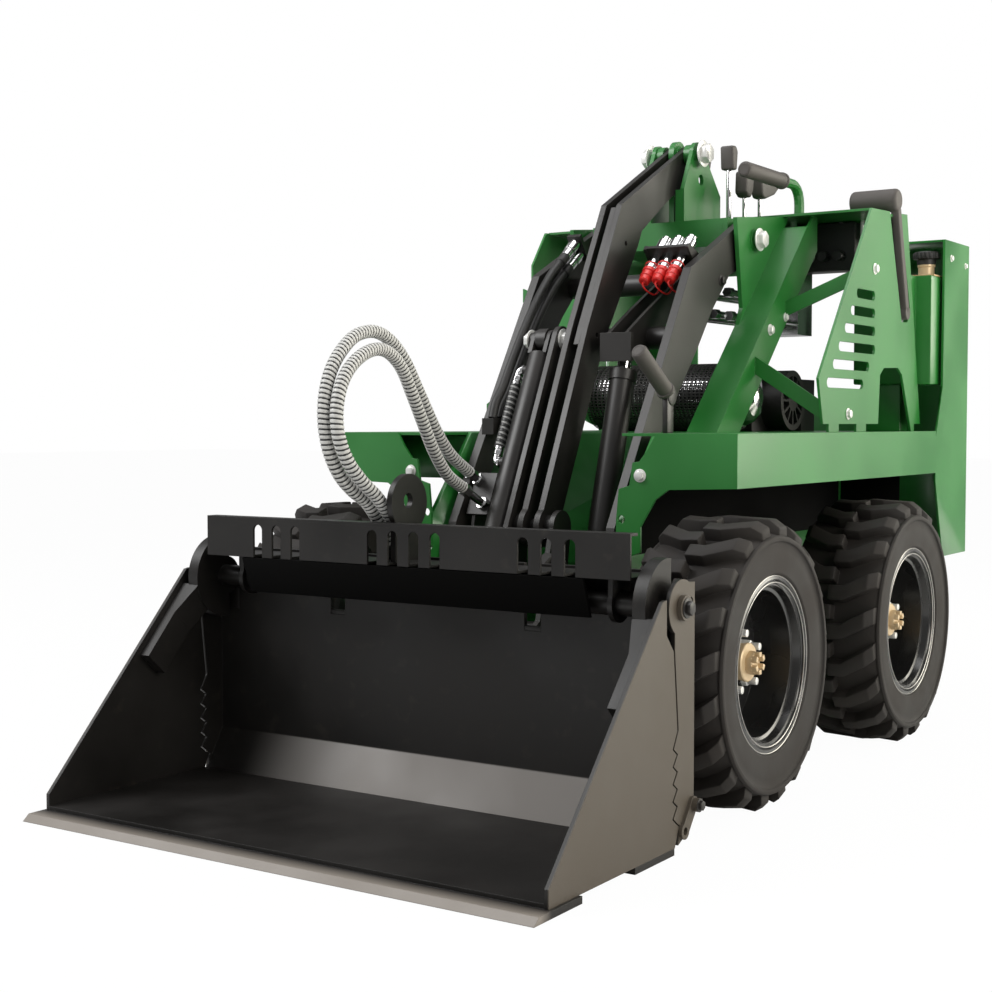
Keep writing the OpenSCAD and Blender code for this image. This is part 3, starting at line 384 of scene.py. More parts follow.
def swept_tube(name, points, count, sides, radius_at):
    """A tube along the points. radius_at(u, s) gives its radius at a turn u and a distance s."""
    line, length = even_route(points, count)
    verts, faces, wraps = [], [], []
    side = Vector((1, 0, 0))
    for i, p in enumerate(line):
        ahead = (line[min(i + 1, count - 1)] - line[max(i - 1, 0)]).normalized()
        side = (side - ahead * side.dot(ahead)).normalized()
        up = ahead.cross(side)
        for k in range(sides):
            turn = 2 * math.pi * k / sides
            r = radius_at(k / sides, length * i / (count - 1))
            verts.append(p + r * (math.cos(turn) * side + math.sin(turn) * up))
    for i in range(count - 1):
        for k in range(sides):
            n = (k + 1) % sides
            faces.append((i * sides + k, i * sides + n, (i + 1) * sides + n, (i + 1) * sides + k))
            wraps.append([(k / sides, i), ((k + 1) / sides, i), ((k + 1) / sides, i + 1), (k / sides, i + 1)])
    faces.append(tuple(range(sides - 1, -1, -1)))
    faces.append(tuple(range((count - 1) * sides, count * sides)))
    mesh = bpy.data.meshes.new(name)
    mesh.from_pydata(verts, [], faces)
    layer = mesh.uv_layers.new(name="round_and_along")
    for polygon, corners in zip(mesh.polygons, wraps):
        for loop, (u, i) in zip(polygon.loop_indices, corners):
            layer.data[loop].uv = (u, length * i / (count - 1))
    mesh.polygons.foreach_set("use_smooth", [True] * len(mesh.polygons))
    tube = bpy.data.objects.new(name, mesh)
    scene.collection.objects.link(tube)
    return tube, line, length


print("route helpers ready")

# %% [markdown]
# The free hoses wear a spiral guard of pale plastic that leaves dark grooves. The finish and the tube's
# radius follow the same spiral: round once for each pitch along the tube.

# %% Spiral guard
GUARD_PITCH = 0.0092
GROOVE_FROM = 0.63
GROOVE_SOFT = 0.03


def spiral_finish(name, ridge, groove, pitch):
    """Two colours that follow a spiral on the tube's own UV map."""
    material = finish(name, (ridge, ridge), (0.38, 0.52), 800, 0.05, edge=0.0004)
    tree = material.node_tree
    wrap = tree.nodes.new("ShaderNodeUVMap")
    wrap.uv_map = "round_and_along"
    split = tree.nodes.new("ShaderNodeSeparateXYZ")
    tree.links.new(wrap.outputs["UV"], split.inputs[0])
    turns = maths(tree, "MULTIPLY_ADD", split.outputs["Y"], 1 / pitch, split.outputs["X"])
    phase = maths(tree, "FRACT", turns)
    dark = ranged(tree, phase, 0, 1, GROOVE_FROM - GROOVE_SOFT, GROOVE_FROM + GROOVE_SOFT)
    stain = noise(tree, tree.nodes["Texture Coordinate"].outputs["Object"], 60.0)
    shade = mixed(tree, stain, ridge, tuple(0.86 * c for c in ridge))
    tree.links.new(mixed(tree, dark, shade, groove), tree.nodes["Principled BSDF"].inputs["Base Color"])


def guard_radius(outer, depth, pitch):
    """The radius of a tube with a groove along the spiral."""
    def radius(u, s):
        phase = (s / pitch + u) % 1.0
        return outer - depth * (1 if phase > GROOVE_FROM else 0)
    return radius


spiral_finish("hose_guard", (0.56, 0.56, 0.54), (0.020, 0.020, 0.020), GUARD_PITCH)
print("spiral guard ready")

# %% [markdown]
# Two hydraulic hoses run free from ports on the mast to fittings behind the spill guard, in wide loops. The
# routes repeat the points of the solids.

# %% Free hoses
HOSE_R = 0.013
HOSE_RINGS = 960
HOSE_SIDES = 20
GROOVE_DEPTH = 0.0014
loop_routes = {
    "loop_hose_1": [
        (-167, 51, 630), (-162, -25, 669), (-157, -80, 714), (-152, -127, 765), (-147, -174, 819),
        (-142, -216, 864), (-137, -269, 900), (-132, -325, 915), (-128, -385, 906), (-123, -434, 878),
        (-118, -475, 837), (-113, -500, 787), (-108, -508, 734), (-103, -500, 684), (-98, -478, 642),
        (-94, -446, 612), (-90, -408, 588), (-87, -378, 556), (-85, -358, 528), (-85, -350, 500)],
    "loop_hose_2": [
        (-139, -15, 600), (-134, -79, 630), (-128, -134, 679), (-123, -177, 734), (-118, -220, 791),
        (-113, -262, 843), (-107, -309, 872), (-102, -358, 879), (-97, -412, 864), (-92, -459, 834),
        (-86, -491, 794), (-81, -505, 748), (-76, -503, 706), (-71, -484, 664), (-66, -450, 628),
        (-61, -412, 598), (-58, -380, 564), (-56, -358, 530), (-56, -348, 500)],
}
for node_name, route in loop_routes.items():
    points = [place(*p) for p in route]
    tube, line, length = swept_tube("guarded_" + node_name, points, HOSE_RINGS, HOSE_SIDES,
                                    guard_radius(HOSE_R, GROOVE_DEPTH, GUARD_PITCH))
    tube.data.materials.append(finishes["hose_guard"])
    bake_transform(tube)
    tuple(line[0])
    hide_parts(node_name)
    print(tube.name, "is", round(length, 3), "m long")

# %% [markdown]
# Most small pieces start in the same few ways: a line of points that is spun into a round, a filled outline
# that is extruded into a plate, or a bar with its ends eased. These helpers do it with the same operators as
# by hand. Everything is deselected first, because the CAD pieces start out selected.

# %% Modelling helpers
WELD = 0.00002
ALONG_X = (1, 0, 0)
ALONG_Z = (0, 0, 1)


def alone():
    """Object mode with nothing selected."""
    if bpy.context.mode != "OBJECT":
        bpy.ops.object.mode_set(mode="OBJECT")
    bpy.ops.object.select_all(action="DESELECT")


def traced(points):
    """A line of points, made by extruding one vertex from place to place. Stays in edit mode."""
    alone()
    bpy.ops.mesh.primitive_plane_add(size=0.01, location=(0, 0, 0))
    bpy.ops.object.mode_set(mode="EDIT")
    bpy.ops.mesh.select_all(action="SELECT")
    bpy.ops.mesh.merge(type="CENTER")
    bpy.ops.transform.translate(value=Vector(points[0]))
    for a, b in zip(points, points[1:]):
        bpy.ops.mesh.extrude_vertices_move(TRANSFORM_OT_translate={"value": Vector(b) - Vector(a)})
    bpy.ops.mesh.select_all(action="SELECT")
    return bpy.context.object


def extruded(points, thick):
    """An outline that is filled and extruded by a vector. Stays in edit mode."""
    piece = traced(list(points) + [points[0]])
    bpy.ops.mesh.remove_doubles(threshold=WELD)
    bpy.ops.mesh.edge_face_add()
    bpy.ops.mesh.extrude_region_move(TRANSFORM_OT_translate={"value": thick})
    return piece


def sliced(cuts):
    """Cuts the mesh in edit mode by planes. Each cut is a point and the way of the side that goes."""
    for point, way in cuts:
        bpy.ops.mesh.select_all(action="SELECT")
        bpy.ops.mesh.bisect(plane_co=point, plane_no=way, clear_outer=True, use_fill=True)


def closed_up():
    """Turns all faces outwards and leaves edit mode."""
    bpy.ops.mesh.select_all(action="SELECT")
    bpy.ops.mesh.normals_make_consistent(inside=False)
    bpy.ops.object.mode_set(mode="OBJECT")


def eased(piece, width, segments=2, angle=30):
    """Rounds the sharp edges with a bevel that is applied."""
    bevel = piece.modifiers.new("eased", "BEVEL")
    bevel.width = width
    bevel.segments = segments
    bevel.limit_method = "ANGLE"
    bevel.angle_limit = math.radians(angle)
    bpy.context.view_layer.objects.active = piece
    bpy.ops.object.modifier_apply(modifier="eased")


print("modelling helpers ready")

# %% [markdown]
# From these come whole pieces. A finished piece sits at the origin with its place in its mesh, as the CAD
# pieces do, so a finish on Object coordinates doesn't slide on it.

# %% Piece helpers
def spun(points, axis, steps=48):
    """A round from a line of points, about an axis through the origin."""
    piece = traced(points)
    bpy.ops.mesh.spin(steps=steps, angle=2 * math.pi, center=(0, 0, 0), axis=axis)
    bpy.ops.mesh.select_all(action="SELECT")
    bpy.ops.mesh.remove_doubles(threshold=WELD)
    closed_up()
    return piece


def turned(rows, steps):
    """A round about Z from rows of height and radius."""
    return spun([(r, 0, z) for z, r in rows], ALONG_Z, steps)


def plate(points, thick, ease=0.002, segments=2):
    """A plate from an outline and the vector of its thickness, with eased edges."""
    piece = extruded(points, thick)
    closed_up()
    eased(piece, ease, segments)
    return piece


def bar(p, q, radius, ease=0.002, sides=32, segments=2):
    """A round or hexagonal bar between two points, with eased ends."""
    alone()
    way = Vector(q) - Vector(p)
    bpy.ops.mesh.primitive_cylinder_add(vertices=sides, radius=radius, depth=way.length,
                                        location=(Vector(p) + Vector(q)) / 2,
                                        rotation=way.to_track_quat("Z", "Y").to_euler())
    piece = bpy.context.object
    bpy.ops.object.transform_apply(location=True, rotation=True, scale=True)
    eased(piece, ease, segments, 40)
    return piece


def joined(pieces):
    """Several pieces as one."""
    alone()
    for piece in pieces:
        piece.select_set(True)
    bpy.context.view_layer.objects.active = pieces[0]
    if len(pieces) > 1:
        bpy.ops.object.join()
    return bpy.context.object


def copied(pattern, matrix):
    """A copy with its own mesh, moved by a matrix. A mirrored copy gets its faces turned the right way."""
    copy = pattern.copy()
    copy.data = pattern.data.copy()
    scene.collection.objects.link(copy)
    copy.data.transform(matrix)
    if matrix.determinant() < 0:
        copy.data.flip_normals()
    return copy


def settled(piece, name, finish_name, angle=35):
    """Names a finished piece, puts its place into its mesh and gives it its finish."""
    alone()
    piece.select_set(True)
    bpy.context.view_layer.objects.active = piece
    bpy.ops.object.transform_apply(location=True, rotation=True, scale=True)
    bpy.ops.object.shade_smooth_by_angle(angle=math.radians(angle))
    piece.name = name
    piece.data.name = name
    piece.data.materials.clear()
    piece.data.materials.append(finishes[finish_name])
    return piece


def dropped(*pieces):
    """Removes patterns that have been copied."""
    for piece in pieces:
        bpy.data.objects.remove(piece)


print("piece helpers ready")

# %% [markdown]
# The tyres are the machine's largest rounds: a flat sidewall with a raised ring near its outer edge, and
# staggered lugs that run straight from the middle and then slant to the shoulder. The carcass is a section
# spun round the axle. One lug is an outline that is extruded towards the axle, cut to the crown of the tread
# with two bisects and bevelled, then copied round. The tyre replaces the plainer solid.

# %% Tyres
TYRE_R = 0.280
RIM_R = 0.170
LUGS = 20
AXLE_Z = 280
SHOULDER = (0.081, 0, 0.2745)
wheels = {"fl": (470, 0), "fr": (-470, 0), "rl": (470, 789), "rr": (-470, 789)}


def wheel_seat(corner):
    """The matrix that puts a wheel's piece on its axle, mirrored on the right side."""
    x, y = wheels[corner]
    return Matrix.Translation(place(x, y, AXLE_Z)) @ Matrix.Diagonal((math.copysign(1, x), 1, 1, 1))


side_section = [(0.0945, RIM_R + 0.0006), (0.0975, RIM_R + 0.004), (0.0985, 0.186), (0.1002, 0.200),
                (0.1008, 0.216), (0.1004, 0.229), (0.1022, 0.2325), (0.1056, 0.2345), (0.1068, 0.2385),
                (0.1056, 0.2430), (0.1010, 0.2455), (0.0965, 0.2440), (0.0880, 0.2470), (0.0700, 0.2510),
                (0.0350, 0.2535)]
ring_section = [(-x, 0, r) for x, r in side_section]
ring_section += [(0, 0, 0.2540)] + [(x, 0, r) for x, r in side_section[::-1]]
carcass = spun(ring_section + [ring_section[0]], ALONG_X, 112)
lug_outline = [(-0.005, -0.0160), (0.031, -0.0160), (0.0985, 0.020), (0.0985, 0.056), (0.026, 0.0160),
               (-0.005, 0.0160)]
lug = extruded([(x, y, TYRE_R) for x, y in lug_outline], (0, 0, -0.048))
sliced([(SHOULDER, (0.075, 0, 1)), (SHOULDER, (0.68, 0, 0.73))])
closed_up()
eased(lug, 0.0028, 2, 25)
lug_copies = []
for i in range(LUGS):
    turn = Matrix.Rotation(2 * math.pi * i / LUGS, 4, "X")
    half_turn = Matrix.Rotation(2 * math.pi * (i + 0.5) / LUGS, 4, "X")
    lug_copies += [copied(lug, turn), copied(lug, half_turn @ Matrix.Diagonal((-1, 1, 1, 1)))]
tyre = joined([carcass] + lug_copies)
dropped(lug)
for corner in wheels:
    wheel = settled(copied(tyre, wheel_seat(corner)), "tyre_" + corner + "_lugged", "tyre_rubber", 32)
    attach(wheel, "wheel_" + corner)
    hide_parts("tyre_" + corner)
dropped(tyre)
print("four tyres with", 2 * LUGS, "lugs each")

# %% [markdown]
# In the deep rim stand a brass-coloured hub with a castle nut and five zinc studs. The hub is a spun section
# over the solid hub, the nut is a hexagon with a crown of six teeth, and one stud with its nut is copied
# round. Three fine rings near the rim's edge catch the light.

# %% Hubs
STUDS = 5
STUD_TURN = 0.1
STUD_RING = 0.057
RIDGE_R = 0.0012
hub = spun([(-0.005, 0, 0.0355), (0.037, 0, 0.0355), (0.039, 0, 0.0375), (0.045, 0, 0.0375),
            (0.047, 0, 0.0355), (0.0475, 0, 0.0300), (0.0475, 0, 0.0120)], ALONG_X)
nut = bar((0.0465, 0, 0), (0.060, 0, 0), 0.0235, 0.0015, 6)
tooth = plate([(-0.006, -0.0055, 0), (0.006, -0.0055, 0), (0.006, 0.0055, 0), (-0.006, 0.0055, 0)],
              (0, 0, 0.009), 0.001)
crown = []
for i in range(6):
    turn = Matrix.Rotation(math.pi / 3 * i, 4, "X")
    crown.append(copied(tooth, turn @ Matrix.Translation((0.0645, 0, 0.0125))))
hub = joined([hub, nut] + crown)
stud = joined([bar((-0.006, 0, STUD_RING), (0.027, 0, STUD_RING), 0.0115, 0.0012, 6),
               bar((0.026, 0, STUD_RING), (0.046, 0, STUD_RING), 0.0075, 0.0012, 16)])
for corner in wheels:
    seat = wheel_seat(corner)
    piece = settled(copied(hub, seat), "hub_" + corner, "brass")
    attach(piece, "wheel_" + corner)
    turns = [Matrix.Rotation(2 * math.pi * (i + STUD_TURN) / STUDS, 4, "X") for i in range(STUDS)]
    ring = settled(joined([copied(stud, seat @ turn) for turn in turns]), "studs_" + corner, "zinc")
    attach(ring, "wheel_" + corner)
round_angles = [math.pi / 3 * k for k in range(7)]
ridges = joined([spun([(x + RIDGE_R * math.cos(a), 0, r + RIDGE_R * math.sin(a)) for a in round_angles],
                      ALONG_X, 72)
                 for x, r in ((0.0935, 0.1685), (0.0935, 0.1625), (0.0935, 0.1560))])
for corner in wheels:
    piece = settled(copied(ridges, wheel_seat(corner)), "rim_ridges_" + corner, "steel")
    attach(piece, "wheel_" + corner)
dropped(hub, tooth, stud, ridges)
print("hubs and studs on", len(wheels), "wheels")

# %% [markdown]
# Bright hexagon bolts hold the guards, the braces and the front plates, and large nuts close the pivot pins.
# One bolt with its washer is modelled at a radius of one, then copied to each place in its own size, and
# joined by body.

# %% Bolts and pin nuts
HEAD_WAYS = {"X": (1, 0, 0), "-X": (-1, 0, 0), "-Y": (0, -1, 0), "Z": (0, 0, 1)}
bolt = joined([bar((0, 0, 0), (0, 0, 0.16), 1.35, 0.06, 28), bar((0, 0, 0.15), (0, 0, 0.85), 1.0, 0.10, 6)])
# each bolt as its place in millimetres, the way its head points, and the head's radius in metres
bolt_places = {
    "base": [
        ((285, 613, 951), "X", 0.010), ((285, 700, 985), "X", 0.008), ((450, 840, 1100), "X", 0.010),
        ((450, 676, 758), "X", 0.010), ((282, -6, 633), "-Y", 0.010), ((-282, -6, 633), "-Y", 0.010),
        ((-450, 840, 1100), "-X", 0.010), ((-450, 676, 758), "-X", 0.010), ((-285, 613, 951), "-X", 0.010),
        ((234, 664, 1165), "X", 0.020), ((-234, 664, 1165), "-X", 0.020), ((68, 702, 1385), "X", 0.024),
        ((-68, 702, 1385), "-X", 0.024), ((492, 1280, 1160), "X", 0.007), ((492, 1400, 1150), "X", 0.006),
        ((-492, 1280, 1160), "-X", 0.007), ((303, 1000, 1242), "Z", 0.010), ((358, 1000, 1242), "Z", 0.010)],
    "mast": [
        ((-126, 243, 922), "-X", 0.018), ((-46, 243, 922), "X", 0.018), ((214, 30, 298), "X", 0.018),
        ((-214, 30, 298), "-X", 0.018)],
    "lift_arm": [((206, 520, 1060), "X", 0.010), ((-206, 520, 1060), "-X", 0.010)],
    "clam": [((562, -355, 422), "X", 0.013), ((-562, -355, 422), "-X", 0.013)],
    "bucket": [((569, -317, 76), "X", 0.009), ((-569, -317, 76), "-X", 0.009)],
}
for body, rows in bolt_places.items():
    copies = []
    for spot, way, radius in rows:
        turn = Vector(HEAD_WAYS[way]).to_track_quat("Z", "Y").to_matrix().to_4x4()
        size = Matrix.Diagonal((radius, radius, radius, 1))
        copies.append(copied(bolt, Matrix.Translation(place(*spot)) @ turn @ size))
    piece = settled(joined(copies), "bolts_" + body, "zinc" if body in ("base", "mast") else "black_paint")
    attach(piece, body)
dropped(bolt)
print("bolts on", ", ".join(bolt_places))

# %% [markdown]
# The operator's hands meet grey rubber grips: a tall square knob and two wedge knobs on thin bright stems,
# the grip of the hand bar, the grip of the front lever, and a fat tee grip on the lever in the side guard.
# Plates with wide bevels give the moulded knobs, and spun sections give the grips with their end flanges.

# %% Grips and knobs
DECK = 717
CONSOLE = DECK + 525
GRIP_RIBS = 14


def along_way(p, q):
    """The matrix that puts local +Z along the way from p to q."""
    way = Vector(q) - Vector(p)
    return Matrix.Translation(p) @ way.to_track_quat("Z", "Y").to_matrix().to_4x4()


def side_outline(points, x, y, z):
    """An outline in the side view, in millimetres from a place."""
    return [place(x, y + dy, z + dz) for dy, dz in points]


def grip(p, q, radius):
    """A rubber grip with a flange at its start, fine ribs and a rounded end."""
    length = (Vector(q) - Vector(p)).length
    rows = [(0.0, 0.010), (0.0, radius + 0.0018), (0.006, radius + 0.0018), (0.008, radius - 0.001)]
    for i in range(GRIP_RIBS):
        z = 0.012 + (length - 0.024) * i / GRIP_RIBS
        rows += [(z, radius), (z + 0.0035, radius - 0.0007)]
    rows += [(length - 0.008, radius), (length - 0.002, radius - 0.003), (length, radius - 0.007),
             (length - 0.0005, radius - 0.0075), (length - 0.0005, 0.0)]
    piece = turned(rows, 40)
    piece.data.transform(along_way(p, q))
    return piece


tall = plate(side_outline([(-11, 0), (11, 0), (17, 46), (6, 58), (-15, 56)], 113, 717, DECK + 625),
             (0.034, 0, 0), 0.005, 3)
wedge = plate(side_outline([(-24, 10), (-20, 62), (4, 66), (26, 58), (20, 20), (8, 0), (-8, 0)],
                           114, 806, DECK + 570), (0.032, 0, 0), 0.006, 3)
tip = plate(side_outline([(-16, 8), (-24, 54), (10, 65), (44, 62), (90, 37), (60, 16), (8, 0), (-8, 0)],
                         114, 896, DECK + 578), (0.032, 0, 0), 0.006, 3)
hand_grip = grip(place(256, 742, CONSOLE + 67), place(256, 527, CONSOLE + 67), 0.018)
front_foot = place(300, 84, DECK + 74)
front_tip = place(300, -50, DECK + 162)
front_start = front_foot + (front_tip - front_foot).normalized() * 0.0185
front_grip = grip(front_start, front_tip, 0.017)
tee = bar(place(338, 982, DECK + 560), place(458, 982, DECK + 560), 0.028, 0.010, 40, 4)
tee_foot = place(447, 1058, DECK + 292)
tee_top = place(447, 982, DECK + 560)
tee_stem = plate([(-0.010, -0.012, 0), (0.010, -0.012, 0), (0.010, 0.012, 0), (-0.010, 0.012, 0)],
                 (0, 0, (tee_top - tee_foot).length - 0.020), 0.004, 3)
tee_stem.data.transform(along_way(tee_foot, tee_top))
tee_pivot = bar(place(427, 1058, DECK + 292), place(457, 1058, DECK + 292), 0.017, 0.003)
controls = settled(joined([tall, wedge, tip, hand_grip, front_grip, tee, tee_stem, tee_pivot]),
                   "rubber_grips", "grip_rubber")
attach(controls, "base")
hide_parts("knobs")
print("grips and knobs ready")

# %% [markdown]
# Under the knobs are thin bright stems, and the tee lever turns on a small bracket. The front lever's bar is
# a flat black plate with a round boss for its grip.

# %% Levers
stems = [bar(place(130, 717, DECK + 497), place(130, 717, DECK + 630), 0.006),
         bar(place(130, 806, DECK + 497), place(130, 806, DECK + 576), 0.005),
         bar(place(130, 896, CONSOLE), place(130, 896, DECK + 584), 0.005)]
bracket = plate(side_outline([(-30, -54), (30, -54), (30, 8), (-30, 8)], 436, 1058, DECK + 292),
                (0.008, 0, 0), 0.0015)
stem_piece = settled(joined(stems + [bracket]), "lever_stems", "chrome")
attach(stem_piece, "base")
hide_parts("levers")
lever_plate = plate(side_outline([(-20, 0), (8, 0), (8, 70), (-20, 70)], 294, 84, DECK), (0.012, 0, 0), 0.002)
lever_boss = bar(place(292, 84, DECK + 74), place(308, 84, DECK + 74), 0.0185, 0.002)
front_bar = settled(joined([lever_plate, lever_boss]), "front_lever_bar", "black_paint")
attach(front_bar, "base")
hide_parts("levers")
print("levers ready")

# %% [markdown]
# Three couplings wait on the arm under red dust caps that hang on thin straps. A cap is a spun cup with ribs,
# and its strap is a thin tube that droops from the cap's nose to a collar round its coupling.

# %% Dust caps
STRAP_R = 0.0021
CAP_LONG = 0.026
bank_foot = (379, 1068)
bank_way = Vector((0, 74, 71)).normalized()
bank_down = Vector((0, 0.6923, -0.7215))
across = Vector((0.014, 0, 0))
collar_angles = [math.pi * k / 8 for k in range(17)]
cap = turned([(-CAP_LONG, 0.0), (-CAP_LONG, 0.0095), (-0.0235, 0.0125), (-0.012, 0.0130), (-0.011, 0.0150),
              (-0.006, 0.0150), (-0.005, 0.0136), (0.004, 0.0136), (0.005, 0.0158), (0.014, 0.0158),
              (0.015, 0.0145), (0.015, 0.0110)], 32)
caps = []
for x in (92, 124, 156):
    foot = place(x, *bank_foot)
    caps.append(copied(cap, along_way(foot, foot + bank_way)))
    nose = foot - bank_way * CAP_LONG
    # the strap's points as shares of the bank's way, of down and of across, from the nose
    droop = ((0.002, 0, 0), (-0.008, 0, 0), (-0.010, 0.016, 0.4), (0, 0.036, 1), (0.022, 0.038, 1.2),
             (0.044, 0.026, 0.8), (0.054, 0.012, 0))
    route = [nose + bank_way * a + bank_down * b + across * c for a, b, c in droop]
    strap, _, _ = swept_tube("strap", route, 40, 8, lambda u, s: STRAP_R)
    around = [Vector((1, 0, 0)) * math.cos(a) + bank_down * math.sin(a) for a in collar_angles]
    neck_ring = [foot + bank_way * 0.028 + 0.0150 * way for way in around]
    collar, _, _ = swept_tube("collar", neck_ring, 48, 8, lambda u, s: STRAP_R)
    caps += [strap, collar]
cap_piece = settled(joined(caps), "dust_caps_with_straps", "cap_red")
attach(cap_piece, "lift_arm")
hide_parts("dust_caps")
dropped(cap)
print("three dust caps")

# %% [markdown]
# Two rubber hoses lie against the right arm cheek. Both ends are held on the arm, so they are rigid lines
# here: smooth tubes in the place of the faceted solids, each with a ferrule at its top.

# %% Arm hoses
ARM_HOSE_R = 0.010
arm_route = [(462, 1118), (400, 1072), (340, 1010), (288, 944), (238, 872), (198, 810), (170, 776),
             (158, 748)]
arm_hoses = []
for shift in (-15, 15):
    line = []
    for i, (y, z) in enumerate(arm_route):
        before = Vector(arm_route[max(i - 1, 0)])
        after = Vector(arm_route[min(i + 1, len(arm_route) - 1)])
        way = (before - after).normalized()
        side = Vector((1, 0)) if i == len(arm_route) - 1 else Vector((way.y, -way.x))
        line.append(place(-168, y + shift * side.x, z + shift * side.y))
    hose, _, _ = swept_tube("arm_hose", line, 90, 20, lambda u, s: ARM_HOSE_R)
    ferrule = bar(line[0] + (line[1] - line[0]).normalized() * 0.030, line[0], 0.0125, 0.002)
    arm_hoses += [hose, ferrule]
hose_piece = settled(joined(arm_hoses), "arm_hoses_smooth", "hose_rubber", 50)
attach(hose_piece, "lift_arm")
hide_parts("arm_hoses")
print("two arm hoses")

# %% [markdown]
# A short hose in a coil guard feeds the tilt cylinder between two bright elbows. It rides on the barrel with
# both ends, so it is a rigid line too. The coil is dark with pale gaps, on the same spiral as the free hoses.

# %% Tilt hose
COIL_PITCH = 0.0125
COIL_R = 0.0128
COIL_DEPTH = 0.0016
ELBOW_R = 0.0088
tilt_top = place(-92, 243, 922)
tilt_way = (place(-92, -150, 98) - tilt_top).normalized()


def on_tilt(x, far):
    """A point beside the tilt barrel: so far to the side, so far down from its top pin, in millimetres."""
    return tilt_top + Vector((x / 1000, 0, 0)) + tilt_way * far / 1000


elbows = []
for start, step in ((75, 1), (300, -1)):
    bend = [on_tilt(x, start + far * step)
            for x, far in ((-36, 0), (-41, 0), (-46, 2), (-48, 8), (-48, 22), (-48, 40))]
    elbow, _, _ = swept_tube("elbow", bend, 30, 20, lambda u, s: ELBOW_R)
    elbows += [elbow, bar(on_tilt(-35.5, start), on_tilt(-42, start), 0.0125, 0.001, 6),
               bar(on_tilt(-48, start + 16 * step), on_tilt(-48, start + 27 * step), 0.0118, 0.001, 6),
               bar(on_tilt(-48, start + 27 * step), on_tilt(-48, start + 42 * step), 0.0105, 0.001)]
elbow_piece = settled(joined(elbows), "tilt_hose_elbows", "chrome")
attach(elbow_piece, "tilt_barrel")
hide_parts("tilt_hose")
spiral_finish("coil_guard", (0.016, 0.016, 0.016), (0.30, 0.30, 0.29), COIL_PITCH)
coil, _, _ = swept_tube("tilt_hose_coil", [on_tilt(-48, far) for far in (112, 150, 190, 230, 263)], 200, 20,
                        guard_radius(COIL_R, COIL_DEPTH, COIL_PITCH))
coil.data.materials.append(finishes["coil_guard"])
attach(coil, "tilt_barrel")
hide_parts("tilt_hose")
print("tilt hose ready")

# %% [markdown]
# The silencer behind the upright wears a heat guard of perforated black sheet. A ring is extruded along in
# rows, every face is inset on its own and the middles are deleted, and Solidify gives the sheet its
# thickness.

# %% Silencer guard
HEAT_ROWS = 34
HEAT_LONG = 0.374
finish("heat_guard", ((0.018, 0.017, 0.016), (0.030, 0.028, 0.026)), (0.42, 0.58), 500, 0.12)
alone()
bpy.ops.mesh.primitive_circle_add(vertices=64, radius=0.0785, location=place(-186, 660, 800),
                                  rotation=(0, math.pi / 2, 0))
heat_guard = bpy.context.object
bpy.ops.object.transform_apply(location=True, rotation=True, scale=True)
bpy.ops.object.mode_set(mode="EDIT")
bpy.ops.mesh.select_all(action="SELECT")
for i in range(HEAT_ROWS):
    bpy.ops.mesh.extrude_edges_move(TRANSFORM_OT_translate={"value": (HEAT_LONG / HEAT_ROWS, 0, 0)})
bpy.ops.mesh.select_all(action="SELECT")
bpy.ops.mesh.normals_make_consistent(inside=False)
bpy.ops.mesh.inset(thickness=0.0017, depth=0, use_individual=True)
bpy.ops.mesh.delete(type="FACE")
bpy.ops.object.mode_set(mode="OBJECT")
sheet = heat_guard.modifiers.new("sheet", "SOLIDIFY")
sheet.thickness = 0.0012
bpy.context.view_layer.objects.active = heat_guard
bpy.ops.object.modifier_apply(modifier="sheet")
settled(heat_guard, "silencer_heat_guard", "heat_guard")
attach(heat_guard, "base")
print("heat guard with", len(heat_guard.data.polygons), "faces")

# %% [markdown]
# On the tank a brass neck and a ribbed black cap stand on a pale gasket plate. The cap is a spun section
# whose ribs are copied bars, so that it reads as a moulded cap.

# %% Tank top
CAP_RIBS = 20
CAP_RIB_RING = 0.0318
TANK_TOP = DECK + 393
finish("gasket", ((0.42, 0.27, 0.12), (0.50, 0.34, 0.17)), (0.55, 0.70), 700, 0.08)
gasket = plate([place(x, y, TANK_TOP) for x, y in ((398, 1190), (477, 1190), (477, 1284), (398, 1284))],
               (0, 0, 0.004), 0.001)
settled(gasket, "tank_gasket", "gasket")
neck = turned([(0.0, 0.0225), (0.006, 0.0225), (0.008, 0.0205), (0.026, 0.0205), (0.028, 0.0225),
               (0.033, 0.0225), (0.033, 0.010)], 40)
neck.data.transform(Matrix.Translation(place(439, 1245, TANK_TOP)))
settled(neck, "tank_neck", "brass")
cap_body = turned([(0.0, 0.012), (0.0, 0.024), (0.013, 0.024), (0.0145, 0.0315), (0.030, 0.0325),
                   (0.033, 0.0290), (0.0335, 0.0)], 48)
ribs = []
for i in range(CAP_RIBS):
    a = 2 * math.pi * i / CAP_RIBS
    spot = Vector((CAP_RIB_RING * math.cos(a), CAP_RIB_RING * math.sin(a), 0))
    ribs.append(bar(spot + Vector((0, 0, 0.0155)), spot + Vector((0, 0, 0.0295)), 0.0026, 0.0008, 10))
tank_cap = joined([cap_body] + ribs)
tank_cap.data.transform(Matrix.Translation(place(439, 1245, TANK_TOP + 33)))
settled(tank_cap, "tank_cap_ribbed", "hose_rubber")
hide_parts("tank_cap")
for piece, slot_name in ((gasket, "plastic"), (neck, "steel"), (tank_cap, "plastic")):
    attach(piece, "base")
print("tank top ready")

# %% [markdown]
# Two sheets of the body are cut further back than their solids. The tub's walls lose their front top corner
# behind the front plates, and the right guard starts behind its left twin and keeps only a low toe for the
# brace. Each starts as a copy of its solid and is cut with bisects.

